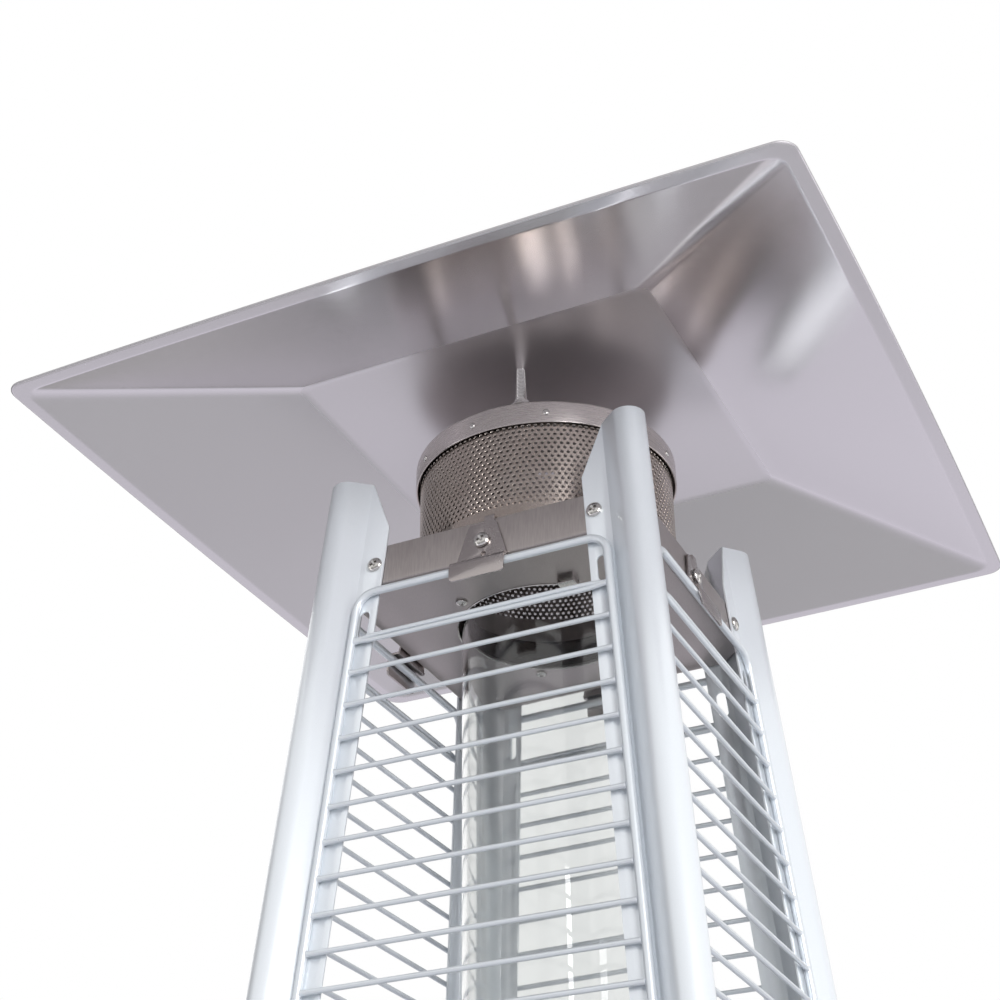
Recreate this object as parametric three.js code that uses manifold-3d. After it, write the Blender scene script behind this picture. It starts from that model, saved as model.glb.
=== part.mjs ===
// Square pyramid patio heater: a burner under a glass tube, inside four leaning corner posts
// with wire guards, below a flame screen and a square reflector. The gas bay is underneath.
// Millimetres, +Z up. The origin is the middle of the base's underside; the front is -Y.
import * as THREE from "three";
import { mergeVertices } from "three/addons/utils/BufferGeometryUtils.js";
import Module from "manifold-3d";

const wasm = await Module();
wasm.setup();

// ---- Driving dimensions -------------------------------------------------------------------

const gap = 0.3; // clearance between pieces that touch
const taper = 0.075; // how far each face leans in for every mm of height

// Base tray and gas bay
const baseHeight = 60;
const baseSheet = 1.5;
const postFoot = 8; // the posts' lower ends above the floor
const boxBottom = 800; // underside of the burner box
const panelSheet = 0.8;

// Glass tube
const tubeLength = 1257;
const tubeRadius = 50;
const tubeWall = 3;
const seatFloor = 4; // thickness of the seat under the tube
const tubeEntry = 14; // how far the tube's mouth rises past the top plate's underside

// Top plate
const plateMargin = 13.2; // from the flame screen out to the plate's flange
const plateFlange = 25.2;
const plateSheet = 1.2;
const plateHoleGap = 2; // around the glass tube

// Posts
const postSheet = 1.2;
const noseRadius = 9.4; // the half-round nose that runs down each corner
const noseOut = 1; // along each face, from the corner line out to the nose's middle
const creaseInset = 14.5; // from the corner line to the fold between nose wall and flange
const flangeWidth = 14.3;
const postRise = 68.7; // the posts' tops above the top plate's underside
const chamferDrop = 32.5;
const webFoot = 4; // where the web across the back of the nose starts, above the deck
const slotWidth = 6;
const slotLength = 15.5;
const slotDrop = 24; // slot's middle below the top plate's underside

// Wire guards
const frameWire = 4.5;
const rungWire = 2.8;
const guardTopDrop = 6; // middle of the top wire below the top plate's underside
const guardInset = 17.5; // from the corner line to the middle of the side wire
const guardBend = 11;
const doubleRungDrop = 35;
const rungPitch = 19.1;
const guardFoot = 20; // lowest wire above the deck

// Guard clips and their screws
const clipSheet = 1.2;
const clipTopWidth = 16;
const clipFootWidth = 30;
const clipLipWidth = 32;
const clipTop = 23;
const clipLipDepth = 11.5;
const clipShelfDrop = 1.5; // below the top plate's underside
const clipScrewHeight = 11.5;
const screwShank = 2;
const screwHead = 4.5;
const screwHeadHeight = 2.6;
const clipScrewLength = 7;

// Flame screen and its cap
const screenClear = 24.8; // from the glass tube out to the screen
const screenSheet = 1;
const screenFootGap = 3; // from the plate's hole to the screen's foot ring
const capLoose = 1.6; // from the screen to the inside of the cap's band
const capSheet = 1;
const capBand = 15.5;
const capBelowPlateau = 27.3; // from the cap's top to the underside of the reflector's plateau

// Reflector
const reflectorHalf = 225;
const rimWidth = 8;
const plateauHalf = 107.5;
const reflectorRise = 37.5;
const reflectorSheet = 1;
const rimAbovePlate = 94.8; // reflector's rim above the top plate's underside
const studCount = 3;
const studRadius = 2.5;
const studShoulder = 1; // how much thicker the stud is below the reflector
const studInset = 7.9; // from the cap's edge to the studs' axes
const studAngle = -77.3;
const studCollar = 6.5;
const studCollarHeight = 4;
const nutRadius = 5;
const nutHeight = 5;

// Burner and gas train
const burnerLip = 5;
const burnerSheet = 1.5;
const burnerDepth = 42;
const burnerRise = 16;
const burnerBevel = 4;
const seatInset = 6; // from the tube's outside to the seat's inner edge
const seatLip = 4;
const seatRise = 12;
const rodRadius = 2;
const rodSpacing = 10;
const rodRise = 32;
const rodTail = 30;
const pilotPlateDepth = 6;
const pilotRoom = 5; // from the pilot's middle to the seat, and to the burner's lip
const valveWidth = 44;
const valveHeight = 46;
const valveDepth = 34;
const valveRoom = 13; // from the valve up to the deck's top
const knobHeight = 44; // the knob's axis above the box's underside
const stemRadius = 4;
const stemTravel = 4;
const stemInValve = 12;
const plungerLength = 8;
const knobRadius = 26;
const knobDepth = 16;
const knobGrip = 10;
const knobGripWidth = 10;
const knobBevel = 4;
const knobSocket = 12;
const pipeRadius = 4;
const pipeBend = 16;
const pipeDrop = 12; // the pipe's start below the knob's axis
const inletRadius = 9;
const inletNose = 6.5;
const inletBore = 2.5;
const inletLength = 20;

// Igniter
const buttonRadius = 9;
const buttonProud = 9;
const buttonTravel = 5;
const buttonTail = 12;
const buttonOffset = 72;
const moduleLength = 52;
const moduleWall = 2.5;

// Side panels, door and hinges
const ventWidth = 90;
const ventHeight = 6;
const ventPitch = 16;
const ventRows = 5;
const ventFoot = 60; // lowest vent above the panel's lower edge
const doorGap = 3;
const doorReturn = 12;
const doorSheet = 0.8;
const hingeOff = 1.6; // the hinge line's distance past the post flange
const pinRadius = 2;
const knuckleRadius = 4;
const knuckleLength = 22;
const leafWidth = 13;
const leafSheet = 1.5;
const hingeInset = 90; // from the door's ends to the middle of each hinge
const handleRadius = 12;
const handleNeck = 5;
const handleDepth = 24;
const handleInset = 30; // from the door's free edge
const handleHeight = 470;

// Wheels
const wheelRadius = 44;
const wheelWidth = 28;
const wheelLift = 4; // clear of the floor until the heater is tipped back
const wheelGap = 4; // between the tread and the posts' face
const axleRadius = 4;
const axleHead = 7;
const earHalfSpan = 110;
const earSheet = 3;
const earRadius = 12;
const earFoot = 10;

// ---- Heights and half-widths that follow from them ----------------------------------------

const boxHeight = knobHeight + valveHeight / 2 + valveRoom;
const deckTop = boxBottom + boxHeight;
const postJoint = boxBottom + boxHeight / 2; // where the upper posts stand on the lower ones
const seatBottom = deckTop + gap;
const seatInner = tubeRadius - seatInset;
const pilotOffset = seatInner - pilotRoom;
const burnerFlange = pilotOffset - pilotRoom;
const burnerRadius = burnerFlange - burnerLip;
const tubeBottom = seatBottom + seatFloor + gap;
const plateZ = tubeBottom + tubeLength - tubeEntry; // underside of the top plate
const plateTop = plateZ + plateSheet;
const plateHole = tubeRadius + plateHoleGap;
const screenRadius = tubeRadius + screenClear;
const screenFoot = plateHole + screenFootGap; // inner radius of the screen's foot ring
const capRadius = screenRadius + capLoose + capSheet;
const plateHalf = screenRadius + plateMargin;
const studCircle = capRadius - studInset;
const postTop = plateZ + postRise;
const rimZ = plateZ + rimAbovePlate;
const plateauZ = rimZ + reflectorRise;
const capTop = plateauZ - capBelowPlateau;
const screwSetback = postSheet + gap; // from the post flange's face back to a sheet behind it
const webInset = creaseInset + postSheet * Math.SQRT2; // along a face, corner line to web's back
const plateCorner = webInset + gap * Math.SQRT2; // where the plate's corners are cut off

// Half-width of the pyramid at a height, to the outer face of the posts' flanges.
const faceHalf = (z) => plateHalf + screwSetback + taper * (plateZ - z);

// Half-width to the outer face of the sheets that the posts' flanges lie on.
const sheetHalf = (z) => faceHalf(z) - screwSetback;

// ---- Materials ----------------------------------------------------------------------------

const material = (color, roughness, metalness, extra = {}) =>
  new THREE.MeshStandardMaterial({ color, roughness, metalness, ...extra });
const silverPaint = material(0xc9d0d8, 0.45, 0.3);
const satinSteel = material(0xb5b2b6, 0.35, 0.9);
const brushedSteel = material(0x8f8784, 0.4, 0.9);
const zincSteel = material(0xcfcdc6, 0.25, 0.95);
const clearGlass = material(0xe8f0f0, 0.05, 0, { transparent: true, opacity: 0.3 });
const brass = material(0xb58a45, 0.3, 0.9);
const blackPlastic = material(0x1c1c1e, 0.5, 0);
const softSilicone = material(0x7c3a2a, 0.8, 0);
const castIron = material(0x3a3836, 0.7, 0.6);

// ---- Helpers ------------------------------------------------------------------------------

const heater = new THREE.Group();
const quarter = Math.PI / 2;

// A closed three.js geometry as a manifold-3d solid.
function solid(geometry) {
  const bare = geometry.clone();
  bare.deleteAttribute("normal");
  bare.deleteAttribute("uv");
  const merged = mergeVertices(bare, 1e-4);
  return new wasm.Manifold(
    new wasm.Mesh({
      numProp: 3,
      vertProperties: merged.attributes.position.array,
      triVerts: new Uint32Array(merged.index.array),
    }),
  );
}

// A manifold-3d solid as a three.js geometry.
function geometryOf(shape) {
  const mesh = shape.getMesh();
  return new THREE.BufferGeometry()
    .setAttribute("position", new THREE.BufferAttribute(mesh.vertProperties, 3))
    .setIndex(new THREE.BufferAttribute(mesh.triVerts, 1));
}

const join = (...shapes) => geometryOf(shapes.map(solid).reduce((a, b) => a.add(b)));
const cut = (shape, ...tools) =>
  geometryOf(tools.map(solid).reduce((a, b) => a.subtract(b), solid(shape)));

// Adds a named piece, turned by quarter turns about the heater's axis.
function piece(name, geometry, look, quarterTurns = 0, parent = heater) {
  const mesh = new THREE.Mesh(geometry, look.clone());
  mesh.name = name;
  mesh.rotation.z = quarterTurns * quarter;
  parent.add(mesh);
  return mesh;
}

// A box between two opposite corners.
function block(x0, x1, y0, y1, z0, z1) {
  return new THREE.BoxGeometry(x1 - x0, y1 - y0, z1 - z0).translate(
    (x0 + x1) / 2,
    (y0 + y1) / 2,
    (z0 + z1) / 2,
  );
}

// A square frustum about the heater's axis.
function frustum(lowHalf, highHalf, z0, z1) {
  const diagonal = Math.SQRT2;
  return new THREE.CylinderGeometry(highHalf * diagonal, lowHalf * diagonal, z1 - z0, 4)
    .rotateY(quarter / 2)
    .rotateX(quarter)
    .translate(0, 0, (z0 + z1) / 2);
}

// A round bar along Z.
function bar(radius, z0, z1, sides = 16) {
  return new THREE.CylinderGeometry(radius, radius, z1 - z0, sides)
    .rotateX(quarter)
    .translate(0, 0, (z0 + z1) / 2);
}

// A solid of revolution about Z from [radius, height] pairs, listed so that its faces point out.
function lathe(profile, sides = 32) {
  const points = profile.map(([radius, height]) => new THREE.Vector2(radius, height));
  return new THREE.LatheGeometry(points, sides).rotateX(quarter);
}

// A ring of rectangular section about Z.
const ring = (inner, outer, z0, z1, sides) =>
  lathe([[inner, z0], [outer, z0], [outer, z1], [inner, z1], [inner, z0]], sides);

// An outline in X and Z, given thickness along Y.
function plate(points, y0, y1) {
  const shape = new THREE.Shape(points.map(([x, z]) => new THREE.Vector2(x, z)));
  return new THREE.ExtrudeGeometry(shape, { depth: y1 - y0, bevelEnabled: false })
    .rotateX(quarter)
    .translate(0, y1, 0);
}

// A round-ended slot, long along Z, through any sheet that lies near the plane Y = 0.
function slotCutter(width, length) {
  const middle = (length - width) / 2;
  const outline = new THREE.Shape();
  outline.absarc(0, middle, width / 2, 0, Math.PI, false);
  outline.absarc(0, -middle, width / 2, Math.PI, 2 * Math.PI, false);
  return new THREE.ExtrudeGeometry(outline, { depth: 8, bevelEnabled: false, curveSegments: 4 })
    .rotateX(quarter)
    .translate(0, 4, 0);
}

// Moves upright geometry onto the leaning pyramid: 1 or -1 shifts that axis by the half-width.
function lean(geometry, alongX, alongY) {
  const at = geometry.attributes.position;
  for (let i = 0; i < at.count; i++) {
    const half = faceHalf(at.getZ(i));
    at.setXYZ(i, at.getX(i) + alongX * half, at.getY(i) + alongY * half, at.getZ(i));
  }
  return geometry;
}

const turned = (geometry, radians) => geometry.clone().rotateZ(radians);

// Cuts the four corners off a leaning square, `inset` along each face from the corner lines.
function cutCorners(geometry, inset, z0, z1) {
  const beyond = 20;
  const corner = new THREE.Shape([
    new THREE.Vector2(-inset - beyond, beyond),
    new THREE.Vector2(beyond, -inset - beyond),
    new THREE.Vector2(beyond, beyond),
  ]);
  const tool = lean(
    new THREE.ExtrudeGeometry(corner, { depth: z1 - z0, bevelEnabled: false }).translate(0, 0, z0),
    1,
    1,
  );
  return cut(geometry, ...[0, 1, 2, 3].map((turn) => turned(tool, turn * quarter)));
}

// Leaning square tray: a flat bottom with four flanges, all of one sheet.
function tray(z0, z1, sheet) {
  const inner = frustum(sheetHalf(z0 + sheet) - sheet, sheetHalf(z1 + 1) - sheet, z0 + sheet, z1 + 1);
  return cut(frustum(sheetHalf(z0), sheetHalf(z1), z0, z1), inner);
}

// A place on the front sheets: its +Z points straight out of them, its +Y up the slope.
const faceTilt = Math.atan(taper);
const onFront = (x, z) =>
  new THREE.Matrix4().makeRotationX(quarter - faceTilt).setPosition(x, -sheetHalf(z), z);

// ---- Posts --------------------------------------------------------------------------------

const corners = ["back_right", "back_left", "front_left", "front_right"];

// Section of a post, measured from the corner line of the pyramid.
function postOutline() {
  const run = creaseInset + noseOut;
  const slant = Math.atan2(noseOut, run) + Math.asin(noseRadius / Math.hypot(run, noseOut));
  const meet = quarter + slant; // where the slanted wall runs into the nose
  const inner = noseRadius - postSheet;
  const middle = noseOut * (Math.cos(meet) + Math.sin(meet));
  const foldInside = (middle + inner + postSheet * Math.sin(meet)) / Math.cos(meet);
  const edge = -creaseInset - flangeWidth;
  const outline = new THREE.Shape();
  outline.moveTo(edge, 0);
  outline.lineTo(edge, -postSheet);
  outline.lineTo(foldInside, -postSheet);
  outline.absarc(noseOut, noseOut, inner, meet, quarter - meet, true);
  outline.lineTo(-postSheet, foldInside);
  outline.lineTo(-postSheet, edge);
  outline.lineTo(0, edge);
  outline.lineTo(0, -creaseInset);
  outline.absarc(noseOut, noseOut, noseRadius, quarter - meet, meet, false);
  outline.lineTo(-creaseInset, 0);
  return outline;
}

function postBlank(z0, z1) {
  return new THREE.ExtrudeGeometry(postOutline(), {
    depth: z1 - z0,
    bevelEnabled: false,
    curveSegments: 7,
  }).translate(0, 0, z0);
}

// Cutters for one flange; the other flange's are the same, a quarter turn round.
function flangeCutters() {
  const edge = -creaseInset - flangeWidth;
  const chamfer = plate(
    [[edge - 1, postTop - chamferDrop * (1 + 1 / flangeWidth)], [-creaseInset, postTop],
      [-creaseInset, postTop + 1], [edge - 1, postTop + 1]],
    -4,
    3,
  );
  const slot = slotCutter(slotWidth, slotLength)
    .translate(-creaseInset - flangeWidth / 2, 0, plateZ - slotDrop);
  return [chamfer, slot];
}

// Flat web that closes the back of the nose, from crease to crease, above the burner box.
function postWeb() {
  const buried = postSheet / 2; // how far its ends run into the flanges
  const web = new THREE.Shape([
    new THREE.Vector2(buried - creaseInset, -buried),
    new THREE.Vector2(buried - webInset, -buried),
    new THREE.Vector2(-buried, buried - webInset),
    new THREE.Vector2(-buried, buried - creaseInset),
  ]);
  const foot = deckTop + webFoot;
  return new THREE.ExtrudeGeometry(web, { depth: postTop - foot, bevelEnabled: false })
    .translate(0, 0, foot);
}

function makePosts() {
  const cutters = flangeCutters();
  const tools = [...cutters, ...cutters.map((tool) => turned(tool, quarter))];
  const blank = join(postBlank(postJoint + gap, postTop), postWeb());
  const upper = lean(cut(blank, ...tools), 1, 1);
  const lower = lean(postBlank(postFoot, postJoint), 1, 1);
  corners.forEach((corner, turn) => {
    piece("upper_post_" + corner, upper, silverPaint, turn);
    piece("lower_post_" + corner, lower, silverPaint, turn);
  });
}

// ---- Wire guards and the clips that hold them ---------------------------------------------

const sides = ["front", "right", "back", "left"];

function guardGeometry() {
  const topZ = plateZ - guardTopDrop;
  const footZ = deckTop + guardFoot;
  const wireHalf = (z) => faceHalf(z) - guardInset;
  // A trapezium with round upper corners, a distance inside or outside the wires' middle line.
  const outline = (offset, Kind) => {
    const top = topZ + offset;
    const foot = footZ - offset;
    const bend = guardBend + offset;
    const path = new Kind();
    path.moveTo(-wireHalf(foot) - offset, foot);
    path.lineTo(wireHalf(foot) + offset, foot);
    path.lineTo(wireHalf(top - bend) + offset, top - bend);
    path.absarc(wireHalf(top) + offset - bend, top - bend, bend, 0, quarter, false);
    path.absarc(-wireHalf(top) - offset + bend, top - bend, bend, quarter, Math.PI, false);
    path.lineTo(-wireHalf(top - bend) - offset, top - bend);
    return path;
  };
  const wires = outline(frameWire / 2, THREE.Shape);
  wires.holes.push(outline(-frameWire / 2, THREE.Path));
  const frame = new THREE.ExtrudeGeometry(wires, {
    depth: frameWire,
    bevelEnabled: false,
    curveSegments: 4,
  })
    .rotateX(quarter)
    .translate(0, -gap, 0);
  const middle = -gap - frameWire / 2;
  const rung = (z, height) => {
    const reach = wireHalf(z) - frameWire / 4;
    const front = middle - rungWire / 2;
    return block(-reach, reach, front, front + rungWire, z - height / 2, z + height / 2);
  };
  const firstRung = plateZ - doubleRungDrop;
  const rungs = [rung(firstRung, 2 * rungWire)];
  for (let z = firstRung - rungPitch; z > footZ + rungPitch / 2; z -= rungPitch) {
    rungs.push(rung(z, rungWire));
  }
  return lean(join(frame, ...rungs), 0, -1);
}

// Clearance hole for the clip's screw, square to the leaning sheets.
const shankHole = () =>
  bar(screwShank + gap, -20, 20, 12).applyMatrix4(onFront(0, plateZ + clipScrewHeight));

// The clip is a tongue screwed to the top plate's flange, with a lip over the guard's top wire.
function clipGeometry() {
  const shelfTop = plateZ - clipShelfDrop;
  const tongue = plate(
    [[-clipFootWidth / 2, shelfTop], [clipFootWidth / 2, shelfTop],
      [clipTopWidth / 2, plateZ + clipTop], [-clipTopWidth / 2, plateZ + clipTop]],
    0,
    clipSheet,
  );
  const lipFront = -(gap + frameWire + gap + clipSheet);
  const wide = clipLipWidth / 2;
  const shelfPlate = block(-wide, wide, lipFront, clipSheet, shelfTop - clipSheet, shelfTop);
  const lip = block(-wide, wide, lipFront, lipFront + clipSheet,
    shelfTop - clipSheet - clipLipDepth, shelfTop);
  return cut(lean(join(tongue, shelfPlate, lip), 0, -1), shankHole());
}

// A pan-head screw that points along -Z, with the underside of its head at the origin.
function panScrew(length) {
  const h = screwHeadHeight;
  return lathe([[0, -length], [screwShank, -length], [screwShank, 0], [screwHead, 0],
    [screwHead, 0.35 * h], [0.8 * screwHead, 0.8 * h], [0.4 * screwHead, h], [0, h]], 12);
}

function makeGuards() {
  const guard = guardGeometry();
  const clip = clipGeometry();
  const screw = panScrew(clipScrewLength)
    .translate(0, 0, screwSetback + gap)
    .applyMatrix4(onFront(0, plateZ + clipScrewHeight));
  sides.forEach((side, turn) => {
    piece("guard_" + side, guard, silverPaint, turn);
    piece("guard_clip_" + side, clip, brushedSteel, turn);
    piece("clip_screw_" + side, screw, zincSteel, turn);
  });
}

// ---- Top plate, flame screen and reflector ------------------------------------------------

// The top plate: a tray whose corners are cut off, with its flange carried round the cuts.
function plateTray() {
  const z1 = plateZ + plateFlange;
  const outside = frustum(sheetHalf(plateZ), sheetHalf(z1), plateZ, z1);
  const inside = frustum(sheetHalf(plateTop) - plateSheet, sheetHalf(z1 + 1) - plateSheet,
    plateTop, z1 + 1);
  const insideCorner = plateCorner + plateSheet * Math.SQRT2;
  return cut(
    cutCorners(outside, plateCorner, plateZ - 1, z1 + 1),
    cutCorners(inside, insideCorner, plateTop - 1, z1 + 2),
  );
}

function makeTop() {
  const hole = bar(plateHole, plateZ - 1, plateTop + 1, 28);
  const screwHoles = sides.map((side, turn) => turned(shankHole(), turn * quarter));
  piece("top_plate", cut(plateTray(), hole, ...screwHoles), brushedSteel);

  const foot = plateTop + gap;
  const inner = screenRadius - screenSheet;
  piece("flame_screen", lathe([[screenFoot, foot], [screenRadius, foot],
    [screenRadius, capTop - capSheet - gap], [inner, capTop - capSheet - gap],
    [inner, foot + screenSheet], [screenFoot, foot + screenSheet],
    [screenFoot, foot]], 32), brushedSteel);

  const bandInner = capRadius - capSheet;
  piece("screen_cap", lathe([[0, capTop - capSheet], [bandInner, capTop - capSheet],
    [bandInner, capTop - capBand], [capRadius, capTop - capBand], [capRadius, capTop],
    [0, capTop]], 32), satinSteel);

  makeReflector();
}

function makeReflector() {
  const panHalf = reflectorHalf - rimWidth;
  const topZ = plateauZ + reflectorSheet;
  const slope = (panHalf - plateauHalf) / reflectorRise;
  const spread = reflectorSheet * (Math.hypot(1, slope) - slope); // keeps the sheet even
  const outer = frustum(panHalf + spread, plateauHalf + spread, rimZ + reflectorSheet, topZ);
  const rim = block(-reflectorHalf, reflectorHalf, -reflectorHalf, reflectorHalf,
    rimZ, rimZ + reflectorSheet);
  const below = frustum(panHalf + slope, plateauHalf, rimZ - 1, plateauZ);
  const studAt = (i) => {
    const angle = THREE.MathUtils.degToRad(studAngle) + (i * 2 * Math.PI) / studCount;
    return [studCircle * Math.cos(angle), studCircle * Math.sin(angle)];
  };
  const indices = Array.from({ length: studCount }, (_, i) => i);
  const holes = indices.map((i) =>
    bar(studRadius + gap, plateauZ - 1, topZ + 1, 12).translate(...studAt(i), 0));
  piece("reflector", cut(join(outer, rim), below, ...holes), satinSteel);

  const foot = capTop + gap;
  const shoulder = plateauZ - gap;
  const nutFoot = topZ + gap;
  const studTop = nutFoot + nutHeight + 1.5;
  const stud = lathe([[0, foot], [studCollar, foot], [studCollar, foot + studCollarHeight / 2],
    [studRadius + studShoulder, foot + studCollarHeight], [studRadius + studShoulder, shoulder],
    [studRadius, shoulder], [studRadius, studTop], [0, studTop]], 12);
  const nut = cut(bar(nutRadius, nutFoot, nutFoot + nutHeight, 6),
    bar(studRadius + gap, nutFoot - 1, nutFoot + nutHeight + 1, 12));
  indices.forEach((i) => {
    const [x, y] = studAt(i);
    piece("reflector_stud_" + (i + 1), stud.clone().translate(x, y, 0), zincSteel);
    piece("reflector_nut_" + (i + 1), nut.clone().translate(x, y, 0), zincSteel);
  });
}

// ---- Burner box, burner and tube ----------------------------------------------------------

const controlZ = boxBottom + knobHeight;
const wallBack = -panelSheet - gap; // where a piece behind the front sheets starts
const boreRadius = stemRadius + gap;

function makeBurner() {
  const bore = (radius, matrix) => bar(radius, -10, 10, 24).applyMatrix4(matrix);
  const rodAt = [-rodSpacing / 2, rodSpacing / 2];
  const rodHoles = rodAt.map((x) =>
    bar(rodRadius + gap, boxBottom, deckTop + 1, 12).translate(x, pilotOffset, 0));
  const box = cut(
    frustum(sheetHalf(boxBottom), sheetHalf(deckTop), boxBottom, deckTop),
    frustum(sheetHalf(boxBottom - 1) - panelSheet, sheetHalf(deckTop - panelSheet) - panelSheet,
      boxBottom - 1, deckTop - panelSheet),
    bar(burnerRadius + 1, boxBottom, deckTop + 1, 32),
    bore(boreRadius, onFront(0, controlZ)),
    bore(buttonRadius + gap, onFront(buttonOffset, controlZ)),
    ...rodHoles,
  );
  piece("burner_box", box, silverPaint);

  const foot = seatBottom - burnerDepth;
  const top = seatBottom + burnerRise;
  const flangeTop = seatBottom + burnerSheet;
  const inner = burnerRadius - burnerSheet;
  piece("burner", lathe([[0, top - burnerSheet], [inner - burnerBevel, top - burnerSheet],
    [inner, top - burnerSheet - burnerBevel], [inner, foot + burnerSheet],
    [pipeRadius + gap, foot + burnerSheet], [pipeRadius + gap, foot], [burnerRadius, foot],
    [burnerRadius, seatBottom], [burnerFlange, seatBottom], [burnerFlange, flangeTop],
    [burnerRadius, flangeTop], [burnerRadius, top - burnerBevel],
    [burnerRadius - burnerBevel, top], [0, top]], 24), castIron);

  const lipInner = tubeRadius + gap;
  const lipOuter = lipInner + seatLip;
  const seatFace = seatBottom + seatFloor;
  piece("tube_seat", lathe([[seatInner, seatBottom], [lipOuter, seatBottom],
    [lipOuter, seatBottom + seatRise], [lipInner, seatBottom + seatRise],
    [lipInner, seatFace], [seatInner, seatFace], [seatInner, seatBottom]], 28), softSilicone);
  piece("glass_tube",
    ring(tubeRadius - tubeWall, tubeRadius, tubeBottom, tubeBottom + tubeLength, 28), clearGlass);

  const rods = rodAt.map((x) =>
    bar(rodRadius, seatBottom - rodTail, seatBottom + rodRise, 12).translate(x, pilotOffset, 0));
  const halfWide = rodSpacing / 2 + 2 * rodRadius;
  const halfDeep = pilotPlateDepth / 2;
  const pilotPlate = block(-halfWide, halfWide, pilotOffset - halfDeep, pilotOffset + halfDeep,
    seatBottom, seatBottom + burnerSheet);
  piece("pilot_assembly", join(pilotPlate, ...rods), zincSteel);
}

// ---- Gas valve, knob and igniter ----------------------------------------------------------

function makeControls() {
  const valvePlace = onFront(0, controlZ);
  const controls = new THREE.Group();
  controls.applyMatrix4(valvePlace);
  heater.add(controls);

  // Along the knob's axis, outwards from the sheet's outer face
  const valveBack = wallBack - valveDepth;
  const stemFoot = wallBack - stemInValve;
  const plungerFoot = stemFoot - gap - plungerLength;
  const boreFoot = plungerFoot - stemTravel - 1;
  const knobBack = stemTravel + 1;
  const socketEnd = knobBack + knobSocket;
  const body = block(-valveWidth / 2, valveWidth / 2, -valveHeight / 2, valveHeight / 2,
    valveBack, wallBack);
  piece("gas_valve", cut(body, bar(boreRadius, boreFoot, wallBack + 1, 24)), brass, 0, controls);
  piece("valve_plunger", bar(stemRadius, plungerFoot, stemFoot - gap, 24), zincSteel, 0, controls);
  piece("valve_stem", bar(stemRadius, stemFoot, socketEnd - gap, 24), zincSteel, 0, controls);

  const face = knobBack + knobDepth;
  const dial = lathe([[0, knobBack], [knobRadius, knobBack], [knobRadius, knobBack + knobBevel],
    [knobRadius - knobBevel, face - 2], [knobRadius - knobBevel - 2, face], [0, face]], 32);
  const gripReach = knobRadius - knobBevel;
  const grip = block(-knobGripWidth / 2, knobGripWidth / 2, -gripReach, gripReach,
    face - knobBevel, face + knobGrip);
  const socket = bar(boreRadius, knobBack - 1, socketEnd, 24);
  piece("control_knob", cut(join(dial, grip), socket), blackPlastic, 0, controls);

  const inletTop = -valveHeight / 2 - gap;
  const inlet = lathe([[inletBore, -inletLength], [inletNose, -inletLength], [inletNose, -8],
    [inletRadius, -8], [inletRadius, 0], [inletBore, 0], [inletBore, -inletLength]], 18)
    .rotateX(-quarter)
    .translate(0, inletTop, (valveBack + wallBack) / 2);
  piece("gas_inlet", inlet, brass, 0, controls);

  makePipe(new THREE.Vector3(0, -pipeDrop, valveBack - gap).applyMatrix4(valvePlace));

  const igniter = new THREE.Group();
  igniter.applyMatrix4(onFront(buttonOffset, controlZ));
  heater.add(igniter);
  const tunnel = buttonRadius + gap;
  const shell = tunnel + moduleWall;
  const tunnelFoot = -buttonTail - buttonTravel - 1;
  piece("igniter_module", lathe([[0, wallBack - moduleLength], [shell, wallBack - moduleLength],
    [shell, wallBack], [tunnel, wallBack], [tunnel, tunnelFoot], [0, tunnelFoot]], 24),
    blackPlastic, 0, igniter);
  piece("igniter_button", lathe([[0, -buttonTail], [buttonRadius, -buttonTail],
    [buttonRadius, buttonProud - 1.5], [buttonRadius - 1.5, buttonProud], [0, buttonProud]], 24),
    blackPlastic, 0, igniter);
}

// The pipe leaves the valve square to its back, then turns up into the burner.
function makePipe(start) {
  const inwards = new THREE.Vector3(0, Math.cos(faceTilt), -Math.sin(faceTilt));
  const corner = start.clone().addScaledVector(inwards, -start.y / inwards.y);
  const bendStart = corner.clone().addScaledVector(inwards, -pipeBend);
  const bendEnd = corner.clone().add(new THREE.Vector3(0, 0, pipeBend));
  const end = new THREE.Vector3(0, 0, seatBottom - burnerDepth + 2 * burnerSheet);
  const route = new THREE.CurvePath();
  route.add(new THREE.LineCurve3(start, bendStart));
  route.add(new THREE.QuadraticBezierCurve3(bendStart, corner, bendEnd));
  route.add(new THREE.LineCurve3(bendEnd, end));
  const section = new THREE.Shape();
  section.absarc(0, 0, pipeRadius, 0, 2 * Math.PI, false);
  const pipe = new THREE.ExtrudeGeometry(section, {
    extrudePath: route,
    steps: 26,
    curveSegments: 4,
  });
  piece("burner_pipe", pipe, brass);
}

// ---- Gas bay: side panels, door and hinges ------------------------------------------------

// A trapezium between two heights whose half-width at each height is given by a function.
const trapezium = (low, high, half) =>
  [[-half(low), low], [half(low), low], [half(high), high], [-half(high), high]];

function makePanels() {
  const low = baseHeight + gap;
  const half = (z) => sheetHalf(z) - panelSheet - gap;
  const sheet = plate(trapezium(low, boxBottom - gap, half), 0, panelSheet);
  const vent = slotCutter(ventHeight, ventWidth).rotateY(quarter);
  const vents = Array.from({ length: ventRows }, (unused, i) =>
    vent.clone().translate(0, 0, low + ventFoot + i * ventPitch));
  const panel = lean(cut(sheet, ...vents).translate(0, screwSetback, 0), 0, -1);
  sides.slice(1).forEach((side, i) => piece("side_panel_" + side, panel, silverPaint, i + 1));
}

const flangeEdge = creaseInset + flangeWidth; // a post flange's free edge, from the corner line
const doorHalf = (z) => faceHalf(z) - flangeEdge - doorGap;
const hingeOut = knuckleRadius + gap; // the hinge line's distance in front of the face

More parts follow.
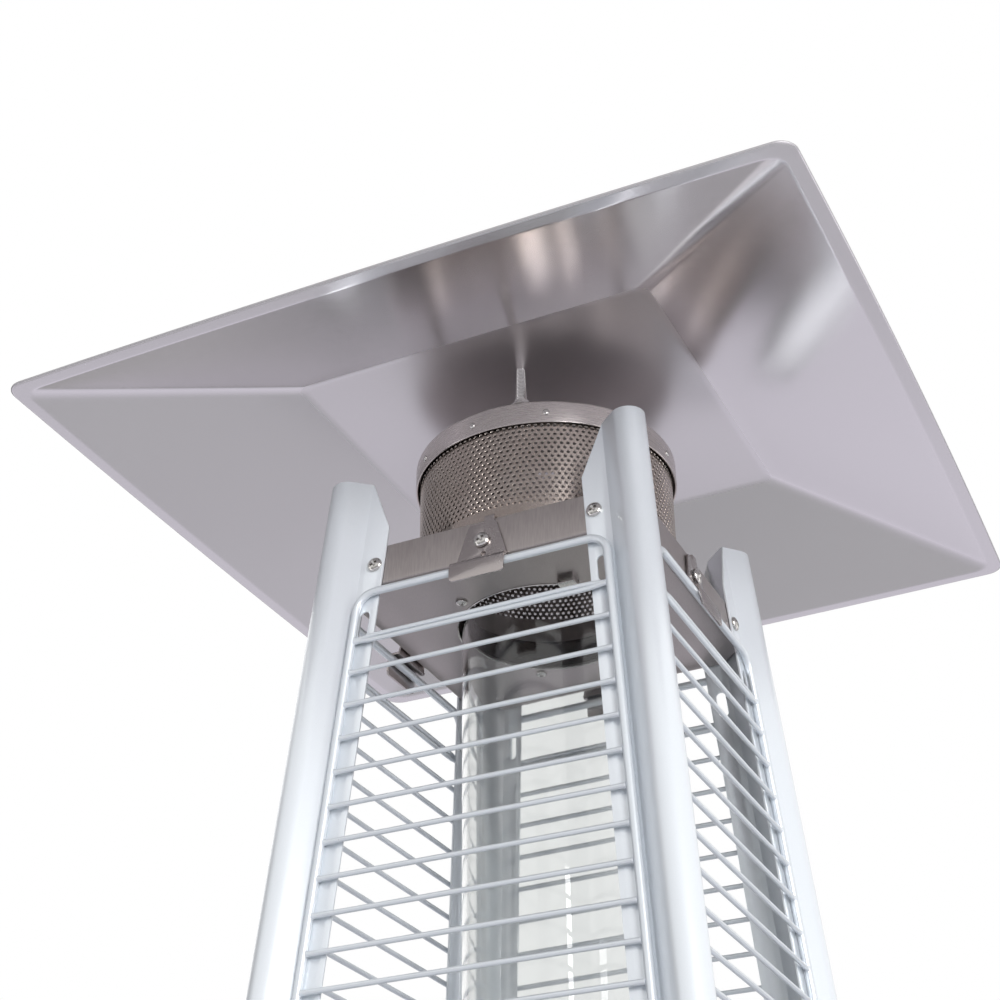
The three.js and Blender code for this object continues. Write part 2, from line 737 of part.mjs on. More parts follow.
// The hinge line runs along the left post's flange. Its +Z is up that line, +Y into the heater.
function onHinge(z) {
  const up = new THREE.Vector3(taper, taper, 1).normalize();
  const out = new THREE.Vector3(0, -1, taper).normalize();
  const across = up.clone().cross(out);
  const edge = new THREE.Vector3(flangeEdge + hingeOff - faceHalf(z), -faceHalf(z), z);
  return new THREE.Matrix4()
    .makeBasis(across, out.clone().negate(), up)
    .setPosition(edge.addScaledVector(out, hingeOut));
}

function makeDoor() {
  const low = baseHeight + doorGap;
  const high = boxBottom - doorGap;
  const inside = (z) => doorHalf(z) - doorSheet;
  const tub = plate(trapezium(low, high, doorHalf), 0, doorReturn);
  const hollow = plate(trapezium(low + doorSheet, high - doorSheet, inside), doorSheet,
    doorReturn + 1);
  const pan = lean(cut(tub, hollow), 0, -1);

  const bore = pinRadius + gap;
  const leafFace = hingeOut - gap;
  const knuckle = (z0, z1) => ring(bore, knuckleRadius, z0, z1, 16);
  const places = [low + hingeInset, high - hingeInset].map(onHinge);
  const tongues = places.map((place) => {
    const strap = block(0, leafWidth, leafFace - leafSheet, hingeOut + doorSheet / 2,
      gap, knuckleLength);
    return join(strap, knuckle(gap, knuckleLength)).applyMatrix4(place);
  });
  piece("door", join(pan, ...tongues), silverPaint);

  const leaf = join(
    block(-hingeOff - leafWidth, 0, leafFace - leafSheet, leafFace, -knuckleLength, 0),
    knuckle(-knuckleLength, 0),
  );
  const pin = lathe([[0, -knuckleLength - 2], [pinRadius, -knuckleLength - 2],
    [pinRadius, knuckleLength + gap], [pinRadius + 1.5, knuckleLength + gap],
    [pinRadius + 1.5, knuckleLength + 2], [0, knuckleLength + 2]], 16);
  ["lower", "upper"].forEach((level, i) => {
    piece("hinge_leaf_" + level, leaf.clone().applyMatrix4(places[i]), zincSteel);
    piece("hinge_pin_" + level, pin.clone().applyMatrix4(places[i]), zincSteel);
  });

  const knobFoot = screwSetback + gap; // from the sheets' plane out to the door's face
  const neck = knobFoot + handleDepth / 2;
  const crown = knobFoot + handleDepth;
  const knob = lathe([[0, knobFoot], [handleNeck + 3, knobFoot], [handleNeck, knobFoot + 4],
    [handleNeck, neck], [handleRadius, neck + 3], [handleRadius, crown - 3],
    [handleRadius - 3, crown], [0, crown]], 24)
    .applyMatrix4(onFront(doorHalf(handleHeight) - handleInset, handleHeight));
  piece("door_handle", knob, zincSteel);
}

// ---- Base tray, axle and wheels -----------------------------------------------------------

function makeBase() {
  piece("base_tray", tray(0, baseHeight, baseSheet), silverPaint);

  const axleZ = wheelLift + wheelRadius;
  const axleReach = wheelGap + wheelRadius; // from the posts' face out to the axle
  const axleY = faceHalf(axleZ) + axleReach;
  const bracketBack = screwSetback - gap;
  const bracketTop = baseHeight - earFoot / 2;
  const along = (radius, halfSpan) =>
    bar(radius, -halfSpan, halfSpan, 20).rotateY(quarter).translate(0, axleY, axleZ);

  const earOutline = new THREE.Shape();
  earOutline.moveTo(axleReach, axleZ - earRadius);
  earOutline.absarc(axleReach, axleZ, earRadius, -quarter, quarter, false);
  earOutline.lineTo(-bracketBack, bracketTop);
  earOutline.lineTo(-bracketBack, earFoot);
  const ear = new THREE.ExtrudeGeometry(earOutline, {
    depth: earSheet,
    bevelEnabled: false,
    curveSegments: 6,
  })
    .rotateX(quarter)
    .rotateZ(quarter);
  const web = block(-earHalfSpan, earHalfSpan, -bracketBack, earSheet - bracketBack,
    earFoot, bracketTop);
  const blank = join(ear.clone().translate(earHalfSpan - earSheet, 0, 0),
    ear.clone().translate(-earHalfSpan, 0, 0), web);
  const bracket = cut(lean(blank, 0, 1), along(axleRadius + gap, earHalfSpan + 1));
  piece("wheel_bracket", bracket, silverPaint);

  const wheelFace = earHalfSpan + 1;
  const axleEnd = wheelFace + wheelWidth + 1;
  const axle = join(along(axleRadius, axleEnd + 1),
    along(axleHead, 1.5).translate(axleEnd + 1.5, 0, 0),
    along(axleHead, 1.5).translate(-axleEnd - 1.5, 0, 0));
  piece("wheel_axle", axle, zincSteel);

  const w = wheelWidth / 2;
  const bore = axleRadius + gap;
  const r = wheelRadius;
  const hub = 3 * axleRadius;
  const wheel = lathe([[bore, -w], [hub, -w], [hub, 5 - w], [r - 11, 5 - w], [r - 11, -w],
    [r - 3, -w], [r, 4 - w], [r, w - 4], [r - 3, w], [r - 11, w], [r - 11, w - 5],
    [hub, w - 5], [hub, w], [bore, w], [bore, -w]], 20).rotateY(quarter);
  const wheelX = wheelFace + w;
  piece("wheel_right", wheel, blackPlastic).position.set(wheelX, axleY, axleZ);
  piece("wheel_left", wheel, blackPlastic).position.set(-wheelX, axleY, axleZ);
}

makeBase();
makePanels();
makeDoor();
makeBurner();
makeControls();
makePosts();
makeGuards();
makeTop();

export default heater;
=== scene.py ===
import math

import bpy
import numpy as np
from mathutils import Matrix, Vector


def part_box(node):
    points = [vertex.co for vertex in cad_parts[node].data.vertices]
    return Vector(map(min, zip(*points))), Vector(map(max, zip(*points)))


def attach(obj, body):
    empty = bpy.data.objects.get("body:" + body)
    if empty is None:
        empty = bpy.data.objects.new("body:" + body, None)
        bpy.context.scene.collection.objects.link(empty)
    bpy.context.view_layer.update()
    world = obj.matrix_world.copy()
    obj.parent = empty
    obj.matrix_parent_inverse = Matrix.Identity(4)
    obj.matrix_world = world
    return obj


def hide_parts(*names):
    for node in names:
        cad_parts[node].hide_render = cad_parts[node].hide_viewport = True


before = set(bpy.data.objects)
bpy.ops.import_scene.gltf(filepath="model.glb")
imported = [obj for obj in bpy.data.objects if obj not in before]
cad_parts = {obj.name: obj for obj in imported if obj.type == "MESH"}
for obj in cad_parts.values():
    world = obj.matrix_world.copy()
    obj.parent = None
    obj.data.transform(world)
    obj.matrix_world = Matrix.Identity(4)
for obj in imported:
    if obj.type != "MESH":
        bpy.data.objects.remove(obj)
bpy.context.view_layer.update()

# Lengths below are in millimetres until a mesh is finished; Blender itself works in metres.
MM = 0.001
SIDES = ("front", "right", "back", "left")
CORNERS = ("back_right", "back_left", "front_left", "front_right")
scene = bpy.context.scene


def box_mm(node):
    low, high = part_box(node)
    return np.array(low) / MM, np.array(high) / MM


# ---- Places taken from the frame -------------------------

plate_low, plate_high = box_mm("top_plate")
plate_z, plate_half = plate_low[2], plate_high[0]
rim_z, reflector_half = box_mm("reflector")[0][2], box_mm("reflector")[1][0]
plateau_top = box_mm("reflector")[1][2]
cap_low, cap_high = box_mm("screen_cap")
screen_low, screen_high = box_mm("flame_screen")
tube_low, tube_high = box_mm("glass_tube")
box_low, box_high = box_mm("burner_box")
post_top = box_mm("upper_post_front_right")[1][2]
post_joint = box_mm("lower_post_front_right")[1][2]
post_foot = box_mm("lower_post_front_right")[0][2]
TAPER = (box_high[0] - plate_half) / (plate_z - box_low[2])
TILT = math.atan(TAPER)
GAP = 0.3
SETBACK = 1.5  # from the outer face of the post flanges back to the sheets behind them


def sheet_half(z):
    return plate_half + TAPER * (plate_z - z)


def face_half(z):
    return sheet_half(z) + SETBACK


# ---- Shapes: vertices and faces in millimetres -----------


class Shape:
    def __init__(self, verts, faces):
        self.verts = np.asarray(verts, float).reshape(-1, 3)
        self.faces = [tuple(int(i) for i in f) for f in faces]

    def moved(self, matrix):
        m = np.array(matrix, float)
        return Shape(self.verts @ m[:3, :3].T + m[:3, 3], self.faces)

    def mapped(self, function):
        return Shape([function(*v) for v in self.verts], self.faces)

    def flipped(self):
        return Shape(self.verts, [f[::-1] for f in self.faces])


def merged(shapes):
    verts, faces, base = [], [], 0
    for s in shapes:
        verts.append(s.verts)
        faces += [tuple(i + base for i in f) for f in s.faces]
        base += len(s.verts)
    return Shape(np.vstack(verts), faces)


def loft(rings, closed=False, caps=False):
    """Quads between rings of equal length; the rings run anticlockwise seen from above."""
    n, m = len(rings[0]), len(rings)
    faces = []
    for j in range(m if closed else m - 1):
        a, b = j * n, (j + 1) % m * n
        for i in range(n):
            k = (i + 1) % n
            faces.append((a + i, a + k, b + k, b + i))
    if caps:
        faces.append(tuple(reversed(range(n))))
        faces.append(tuple(range((m - 1) * n, m * n)))
    return Shape(np.vstack(rings), faces)


def circle(radius, z, n):
    a = np.arange(n) * 2 * math.pi / n
    return np.stack([radius * np.cos(a), radius * np.sin(a), np.full(n, z)], 1)


def revolve(profile, n=48):
    """Turns [radius, height] pairs about Z. A profile that ends where it began is a ring."""
    ring = np.allclose(profile[0], profile[-1])
    points = profile[:-1] if ring else profile
    return loft([circle(r, z, n) for r, z in points], closed=ring, caps=not ring)


def filleted(points, radii, steps=5):
    """A polyline with its inner corners rounded; radii has one number per inner corner."""
    out = [np.array(points[0], float)]
    for i, radius in enumerate(radii):
        a, b, c = (np.array(points[i + j], float) for j in range(3))
        u, v = (a - b) / np.linalg.norm(a - b), (c - b) / np.linalg.norm(c - b)
        if radius <= 0:
            out.append(b)
            continue
        half = math.acos(max(-1, min(1, float(u @ v)))) / 2
        reach = radius / math.tan(half)
        mid = (u + v) / np.linalg.norm(u + v)
        centre = b + mid * radius / math.sin(half)
        p, q = b + u * reach - centre, b + v * reach - centre
        turn = math.pi - 2 * half
        for s in range(steps + 1):
            t = s / steps
            arm = p * math.sin((1 - t) * turn) + q * math.sin(t * turn)
            out.append(centre + arm / math.sin(turn))
    out.append(np.array(points[-1], float))
    return np.array(out)


def closed_outline(points, radii, steps=5):
    """A closed polygon with rounded corners; radii is one number, or one for each corner."""
    seam = (np.array(points[-1]) + np.array(points[0])) / 2
    radii = radii if hasattr(radii, "__len__") else [radii] * len(points)
    return filleted([seam, *points, seam], radii, steps)[1:]


def prism(outline, z0, z1):
    """An outline in X and Y between two heights."""
    outline = np.asarray(outline, float)
    area = sum(a[0] * b[1] - b[0] * a[1] for a, b in zip(outline, np.roll(outline, -1, 0)))
    if area < 0:
        outline = outline[::-1]
    rings = [np.column_stack([outline, np.full(len(outline), z)]) for z in (z0, z1)]
    return loft(rings, caps=True)


def upright(outline, y0, y1):
    """An outline in X and Z between two depths along Y."""
    return prism(outline, y0, y1).mapped(lambda x, y, z: (x, z, y)).flipped()


def oblong(x, y):
    return [(-x, -y), (x, -y), (x, y), (-x, y)]


def block(x0, x1, y0, y1, z0, z1):
    return prism([(x0, y0), (x1, y0), (x1, y1), (x0, y1)], z0, z1)


def sweep(path, radius, sides=10, closed=False):
    """A round wire along a path."""
    path = np.asarray(path, float)
    n = len(path)
    if closed:
        tangents = np.roll(path, -1, 0) - np.roll(path, 1, 0)
    else:
        tangents = np.gradient(path, axis=0)
    tangents /= np.linalg.norm(tangents, axis=1)[:, None]
    start = np.cross(tangents[0], [0, 0, 1.0])
    if np.linalg.norm(start) < 1e-3:
        start = np.cross(tangents[0], [1.0, 0, 0])
    normal = start / np.linalg.norm(start)
    radii = np.broadcast_to(radius, n)
    rings = []
    for p, t, r in zip(path, tangents, radii):
        normal = normal - t * (normal @ t)
        normal /= np.linalg.norm(normal)
        side = np.cross(t, normal)
        a = np.arange(sides) * 2 * math.pi / sides
        rings.append(p + r * (np.cos(a)[:, None] * normal + np.sin(a)[:, None] * side))
    return loft(rings, closed=closed, caps=not closed)


def as_mesh(shape, name="piece"):
    mesh = bpy.data.meshes.new(name)
    mesh.from_pydata([tuple(v) for v in shape.verts], [], shape.faces)
    mesh.update()
    return mesh


def new_object(name, data):
    o = bpy.data.objects.new(name, data)
    scene.collection.objects.link(o)
    return o


def worked(shape, cutters=(), unions=(), bevel=0.0, segments=2, angle=35):
    """A shape with others added or cut away and its sharp edges rounded, as a mesh."""
    made = new_object("work", as_mesh(shape))
    helpers = []
    for operation, tools in (("UNION", unions), ("DIFFERENCE", cutters)):
        for tool in tools:
            other = new_object("tool", as_mesh(tool))
            helpers.append(other)
            m = made.modifiers.new(operation, "BOOLEAN")
            m.operation, m.object, m.solver = operation, other, "EXACT"
    if bevel:
        m = made.modifiers.new("bevel", "BEVEL")
        m.width, m.segments, m.limit_method = bevel, segments, "ANGLE"
        m.angle_limit = math.radians(angle)
        m.use_clamp_overlap = True
    graph = bpy.context.evaluated_depsgraph_get()
    mesh = bpy.data.meshes.new_from_object(made.evaluated_get(graph), depsgraph=graph)
    for o in (made, *helpers):
        bpy.data.objects.remove(o)
    return mesh


def finished(mesh, sharp=38):
    """Scales a mesh from millimetres to metres and sets its shading."""
    mesh.transform(Matrix.Scale(MM, 4))
    mesh.polygons.foreach_set("use_smooth", [True] * len(mesh.polygons))
    mesh.set_sharp_from_angle(angle=math.radians(sharp))
    return mesh


def put(name, shape, look, body="frame", turns=0, replaces=(), matrix=None, sharp=38):
    """Adds a piece of the heater. Shape is a Shape or a mesh that is already finished."""
    mesh = finished(as_mesh(shape, name), sharp) if isinstance(shape, Shape) else shape
    if not mesh.materials:
        mesh.materials.append(look)
    o = new_object(name, mesh)
    o.matrix_world = Matrix.Rotation(turns * math.pi / 2, 4, "Z") @ (matrix or Matrix.Identity(4))
    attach(o, body)
    if replaces:
        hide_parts(*replaces)


def in_metres(matrix):
    m = matrix.copy()
    m.translation = m.translation * MM
    return m


def on_front(x, z, out=0.0):
    """A place on the front sheets, in metres: +Z straight out of them, +Y up the slope."""
    m = Matrix.Translation((x, -sheet_half(z), z)) @ Matrix.Rotation(math.pi / 2 - TILT, 4, "X")
    return in_metres(m @ Matrix.Translation((0, 0, out)))


def lean(mesh, x, y):
    """Moves a mesh's upright geometry out, by x and y, to where the faces lean. Millimetres."""
    for v in mesh.vertices:
        half = face_half(v.co.z)
        v.co.x += x * half
        v.co.y += y * half


# ---- Materials -------------------------------------------


def fill(tree, node, sockets):
    """Gives a shader node's sockets their values, or links them to the sockets given."""
    for socket, value in sockets.items():
        if isinstance(value, bpy.types.NodeSocket):
            tree.links.new(value, node.inputs[socket])
        else:
            node.inputs[socket].default_value = value


def added(tree, kind, sockets=None, output=None, **settings):
    """A new shader node, with its settings made first; or the named output of it."""
    node = tree.nodes.new("ShaderNode" + kind)
    for name, value in settings.items():
        setattr(node, name, value)
    fill(tree, node, sockets or {})
    return node.outputs[output] if output else node


def joined(tree, operation, first, second, clamp=False):
    return added(tree, "Math", {0: first, 1: second}, "Value", operation=operation,
                 use_clamp=clamp)


def mixed_color(tree, share, first, second, blend="MIX"):
    return added(tree, "Mix", {"Factor": share, "A": first, "B": second}, "Result",
                 data_type="RGBA", blend_type=blend)


def surface(name, color, roughness, metallic=0.0, grain=400, detail=3.0, spread=0.08,
            rough_spread=0.06, bump=0.0, patches=9.0, patch_spread=0.06, patch_color=None,
            ringed=False, slot="", **sockets):
    """A Principled surface with a fine grain and broad patches in colour and roughness.
    Grain is one number, or one for each axis. Ringed stretches its highlights along Z, as
    brushing round the Z axis does. The slot is not used."""
    m = bpy.data.materials.new(name)
    m.use_nodes = True
    tree = m.node_tree
    place = added(tree, "TexCoord", output="Object")
    grain = grain if hasattr(grain, "__len__") else (grain,) * 3
    scaled = added(tree, "Mapping", {"Vector": place, "Scale": grain}, "Vector")
    fine = added(tree, "TexNoise", {"Vector": scaled, "Scale": 1.0, "Detail": detail}, "Fac")
    broad = added(tree, "TexNoise", {"Vector": place, "Scale": patches, "Detail": 2.0}, "Fac")
    tint = np.array(color, float)
    dark, light = np.clip(tint * (1 - spread), 0, 1), np.clip(tint * (1 + spread), 0, 1)
    base = mixed_color(tree, fine, (*dark, 1), (*light, 1))
    other = patch_color or (1 - patch_spread,) * 3
    patch = mixed_color(tree, broad, (*other, 1), (1, 1, 1, 1))
    rough = added(tree, "MapRange", {"Value": joined(tree, "ADD", fine, broad),
                                     "From Min": 0.6, "From Max": 1.4,
                                     "To Min": max(0.02, roughness - rough_spread),
                                     "To Max": min(1.0, roughness + rough_spread)}, "Result")
    looks = {"Base Color": mixed_color(tree, 1.0, base, patch, "MULTIPLY"), "Roughness": rough,
             "Metallic": metallic}
    if bump:
        looks["Normal"] = added(tree, "Bump", {"Height": fine, "Strength": 1.0,
                                               "Distance": bump * MM}, "Normal")
    if ringed:
        looks["Tangent"] = added(tree, "Tangent", output="Tangent", direction_type="RADIAL",
                                 axis="Z")
        looks |= {"Anisotropic": 0.65, "Anisotropic Rotation": 0.25}
    looks |= {socket.replace("_", " "): value for socket, value in sockets.items()}
    fill(tree, tree.nodes["Principled BSDF"], looks)
    return m


PAINT = dict(roughness=0.31, metallic=0.42, grain=1600, spread=0.03, rough_spread=0.04,
             bump=0.0015, patches=5, patch_spread=0.04, Coat_Weight=0.3, Coat_Roughness=0.12)
STEEL = dict(metallic=1.0, grain=300, spread=0.015, rough_spread=0.02, bump=0.0006, patches=6)
PAN = dict(color=(0.68, 0.653, 0.66), patch_color=(0.93, 0.92, 0.93), ringed=True, **STEEL)

silver_paint = surface("silver_paint", (0.785, 0.82, 0.86), **PAINT)
# Painted shade: a darker copy of the silver paint, for the thin guard wires
shaded_wire_paint = surface("shaded_wire_paint", (0.70, 0.735, 0.775), slot="silver_paint", **PAINT)
satin_steel = surface("satin_steel", roughness=0.23, **PAN)
plateau_steel = surface("plateau_steel", roughness=0.33, slot="satin_steel", **PAN)
# Painted shade: a darker, rougher copy of the pan's steel for the hem, which dims the hem's
# highlights
hem_shade_steel = surface("hem_shade_steel", (0.50, 0.485, 0.50), 0.62, slot="satin_steel", **STEEL)
band_steel = surface("band_steel", (0.66, 0.61, 0.59), 0.28, 1.0, grain=(60, 60, 2500),
                     spread=0.10, bump=0.004, patches=20, patch_spread=0.1, ringed=True,
                     slot="satin_steel")
brushed_steel = surface("brushed_steel", (0.435, 0.395, 0.385), 0.38, 1.0, grain=(1400, 1400, 30),
                        spread=0.22, rough_spread=0.1, bump=0.006, patches=14, patch_spread=0.12)
screen_steel = surface("screen_steel", (0.56, 0.50, 0.46), 0.24, 1.0, grain=700, spread=0.10,
                       bump=0.002, patches=25, patch_color=(0.66, 0.62, 0.58), ringed=True)
clip_steel = surface("clip_steel", (0.47, 0.43, 0.42), 0.24, 1.0, grain=900, spread=0.08,
                     bump=0.004, patches=30, patch_spread=0.15, slot="brushed_steel")
# Painted shade: a dark steel for the inside of the flame screen and for the flue collar, where
# little light reaches
painted_shade_steel = surface("painted_shade_steel", (0.12, 0.085, 0.07), 0.45, 1.0, grain=(600, 600, 200),
                      spread=0.25, bump=0.006, patches=22, patch_color=(0.7, 0.8, 1.0),
                      slot="brushed_steel")
bright_zinc = surface("bright_zinc", (0.62, 0.60, 0.575), 0.13, 1.0, grain=1200,
                      spread=0.08, bump=0.003, patches=90, patch_spread=0.15)
brass_look = surface("brass", (0.60, 0.41, 0.17), 0.3, 1.0, grain=900, spread=0.1,
                     bump=0.005, patches=60, patch_color=(0.75, 0.68, 0.6))
iron = surface("burner_iron", (0.07, 0.065, 0.06), 0.62, 0.6, grain=900, spread=0.3,
               bump=0.04, patches=40, patch_color=(1.0, 0.7, 0.55))
plastic = surface("black_plastic", (0.022, 0.022, 0.024), 0.42, 0.0, grain=1600,
                  spread=0.2, bump=0.02, patches=30, patch_spread=0.2)
rubber = surface("wheel_rubber", (0.03, 0.03, 0.032), 0.72, 0.0, grain=900,
                 spread=0.3, bump=0.03, patches=30, patch_color=(0.8, 0.76, 0.7))
silicone = surface("seat_silicone", (0.20, 0.045, 0.03), 0.6, 0.0, grain=1100,
                   spread=0.15, bump=0.015, patches=30, patch_spread=0.2)
glass = surface("clear_glass", (0.89, 0.90, 0.895), 0.03, 0.0, grain=(260, 260, 6), detail=2.0,
                spread=0.01, rough_spread=0.015, bump=0.02, patches=12, patch_spread=0.02,
                Transmission_Weight=1.0, IOR=1.46)

# ---- Reflector -------------------------------------------


def four_sides(side, z):
    """A ring from its +X side and the corner after it, in X and Y; anticlockwise."""
    points = []
    for k in range(4):
        c, s = math.cos(k * math.pi / 2), math.sin(k * math.pi / 2)
        points += [(x * c - y * s, x * s + y * c, z) for x, y in side]
    return np.array(points)


def square_ring(half, radius, z, bow, straight=26, corner=8):
    """A square with rounded corners; bow swells the middle of each side."""
    flat = half - radius
    side = []
    for i in range(straight):
        t = -1 + 2 * (i + 0.5) / straight
        t = math.sin(t * math.pi / 2) * 0.35 + t * 0.65  # closer together near the corners
        side.append((half + bow * (1 - t * t), t * flat))
    for i in range(corner + 1):
        a = i / corner * math.pi / 2
        side.append((flat + radius * math.cos(a), flat + radius * math.sin(a)))
    return four_sides(side, z)


RIM_WIDTH, PLATEAU_HALF, SHEET = 8.0, 107.5, 1.0
RIM_CORNER, FOLD_CORNER, EDGE_BOW = 10.0, 7.0, 2.4
PLATEAU_FOLD, RIM_FOLD = 16, 7  # inner radii of the pan's two folds
HEM_WIDTH, HEM_HEIGHT, HEM_ROUND, RING_STEP = 6.2, 2.3, 1.1, 9
pan_half = reflector_half - RIM_WIDTH
plateau_z = plateau_top - SHEET


def spaced(a, b, n):
    return [tuple(np.array(a) + (np.array(b) - np.array(a)) * i / n) for i in range(n + 1)]


def make_reflector():
    """The pressed pan with its hem; its plateau and its hem are a little duller than the rest, and
    the hem is painted darker as shade.
    """
    fold_low = filleted([(20, plateau_z), (PLATEAU_HALF, plateau_z), (pan_half, rim_z),
                         (reflector_half - 1.2, rim_z)], [PLATEAU_FOLD, RIM_FOLD], 7)
    hem_in, hem_top, upper_z = reflector_half - HEM_WIDTH, rim_z + HEM_HEIGHT, rim_z + SHEET * 1.02
    hem = filleted([(reflector_half - 1.2, rim_z), (reflector_half, rim_z),
                    (reflector_half, hem_top), (hem_in, hem_top),
                    (hem_in, rim_z + SHEET + 0.05)], [HEM_ROUND, HEM_ROUND, 0.5], 4)
    fold_high = filleted([(hem_in - 0.1, upper_z), (pan_half + 0.2, upper_z),
                          (PLATEAU_HALF + 0.2, plateau_z + SHEET), (20, plateau_z + SHEET)],
                         [RIM_FOLD - SHEET, PLATEAU_FOLD], 7)
    profile = []
    for part in (fold_low, hem[1:], fold_high):
        for p in part:
            if profile:
                q = profile[-1]
                n = max(1, int(math.hypot(p[0] - q[0], p[1] - q[1]) / RING_STEP))
                profile += spaced(q, p, n)[1:]
            else:
                profile.append(tuple(p))
    rings = []
    for m, z in profile:
        share = min(1.0, max(0.0, (m - PLATEAU_HALF) / (reflector_half - PLATEAU_HALF)))
        radius = FOLD_CORNER + (RIM_CORNER - FOLD_CORNER) * share
        rings.append(square_ring(m - EDGE_BOW * 0.3 * share, radius, z, EDGE_BOW * share))
    mesh = finished(as_mesh(loft(rings, caps=True), "reflector_pan"), 50)
    for look in (satin_steel, plateau_steel, hem_shade_steel):
        mesh.materials.append(look)
    # The plateau takes the rougher steel; the hem's upright faces take the darker steel, painted
    # shade
    for face in mesh.polygons:
        if face.center.z > (plateau_z - 0.6) * MM:
            face.material_index = 1
        elif face.center.z < (rim_z + 3) * MM and abs(face.normal.z) < 0.8:
            face.material_index = 2
    put("reflector_pan", mesh, satin_steel, replaces=["reflector"])


# ---- Flame screen, its cap and the studs -----------------

HOLES_ROUND, HOLE_PITCH, HOLE_RADIUS, DIMPLE, SCREEN_SHEET = 130, 2.9, 0.95, 0.22, 0.8
FIRST_ROW, FOOT_RISE, FOOT_HOLE = 38.5, 44.4, 55.0  # the first two above the plate's underside
FLUE_IN, FLUE_OUT, FLUE_LOW, FLUE_HIGH = 52.5, 53.7, 1.4, 18.4
CAP_SHEET, RIVETS, RIVET_START = 0.9, 11, -98.6


def perforated(radius, z_low, z0, rows, columns, pitch, hole, dimple, sheet, z_top):
    """A tube wall with staggered rows of real holes, dimpled outside, plain below and above."""
    step, n2 = 2 * math.pi / columns, 2 * columns
    verts, faces = [], []

    def at(r, angle, z):
        return (r * math.cos(angle), r * math.sin(angle), z)

    def hole_rings(r, size):
        first = len(verts)
        for j in range(rows):
            for i in range(columns):
                middle = (i + 0.5 * (j % 2)) * step
                for q in range(8):
                    a = q * math.pi / 4
                    verts.append(at(r, middle + size * math.cos(a) / r,
                                    z0 + (j + 0.5) * pitch + size * math.sin(a)))
        return first

    def wall(r, size, flipped):
        base = len(verts)
        for j in range(rows + 1):
            verts.extend(at(r, k * step / 2, z0 + j * pitch) for k in range(n2))
        mids = len(verts)
        for j in range(rows):
            c = 0.5 * (j % 2)
            verts.extend(at(r, (i + c + 0.5) * step, z0 + (j + 0.5) * pitch)
                         for i in range(columns))
        holes = hole_rings(r, size)
        for j in range(rows):
            low, high = base + j * n2, base + (j + 1) * n2
            for i in range(columns):
                k = (2 * i + j % 2) % n2
                left, right = (k - 1) % n2, (k + 1) % n2
                around = [mids + j * columns + i, high + right, high + k, high + left,
                          mids + j * columns + (i - 1) % columns, low + left, low + k, low + right]
                h = holes + (j * columns + i) * 8
                for q in range(8):
                    n = (q + 1) % 8
                    f = (around[q], around[n], h + n, h + q)
                    faces.append(f[::-1] if flipped else f)
        return base, holes

    outer, outer_holes = wall(radius, hole + dimple, False)
    inner, inner_holes = wall(radius - sheet, hole, True)
    throat = hole_rings(radius - dimple, hole)
    for h in range(0, rows * columns * 8, 8):
        for q in range(8):
            n = (q + 1) % 8
            for a, b in ((outer_holes, throat), (throat, inner_holes)):
                faces.append((a + h + q, a + h + n, b + h + n, b + h + q))
    rims = len(verts)
    for r, z in ((radius, z_top), (radius - sheet, z_top), (radius, z_low),
                 (radius - sheet, z_low)):
        verts.extend(at(r, k * step / 2, z) for k in range(n2))
    top, top_in, low, low_in = (rims + i * n2 for i in range(4))
    last = rows * n2
    for k in range(n2):
        n = (k + 1) % n2
        for a, b in ((outer + last, top), (top, top_in), (top_in, inner + last), (inner, low_in),
                     (low_in, low), (low, outer)):
            faces.append((a + k, a + n, b + n, b + k))
    return Shape(verts, faces)


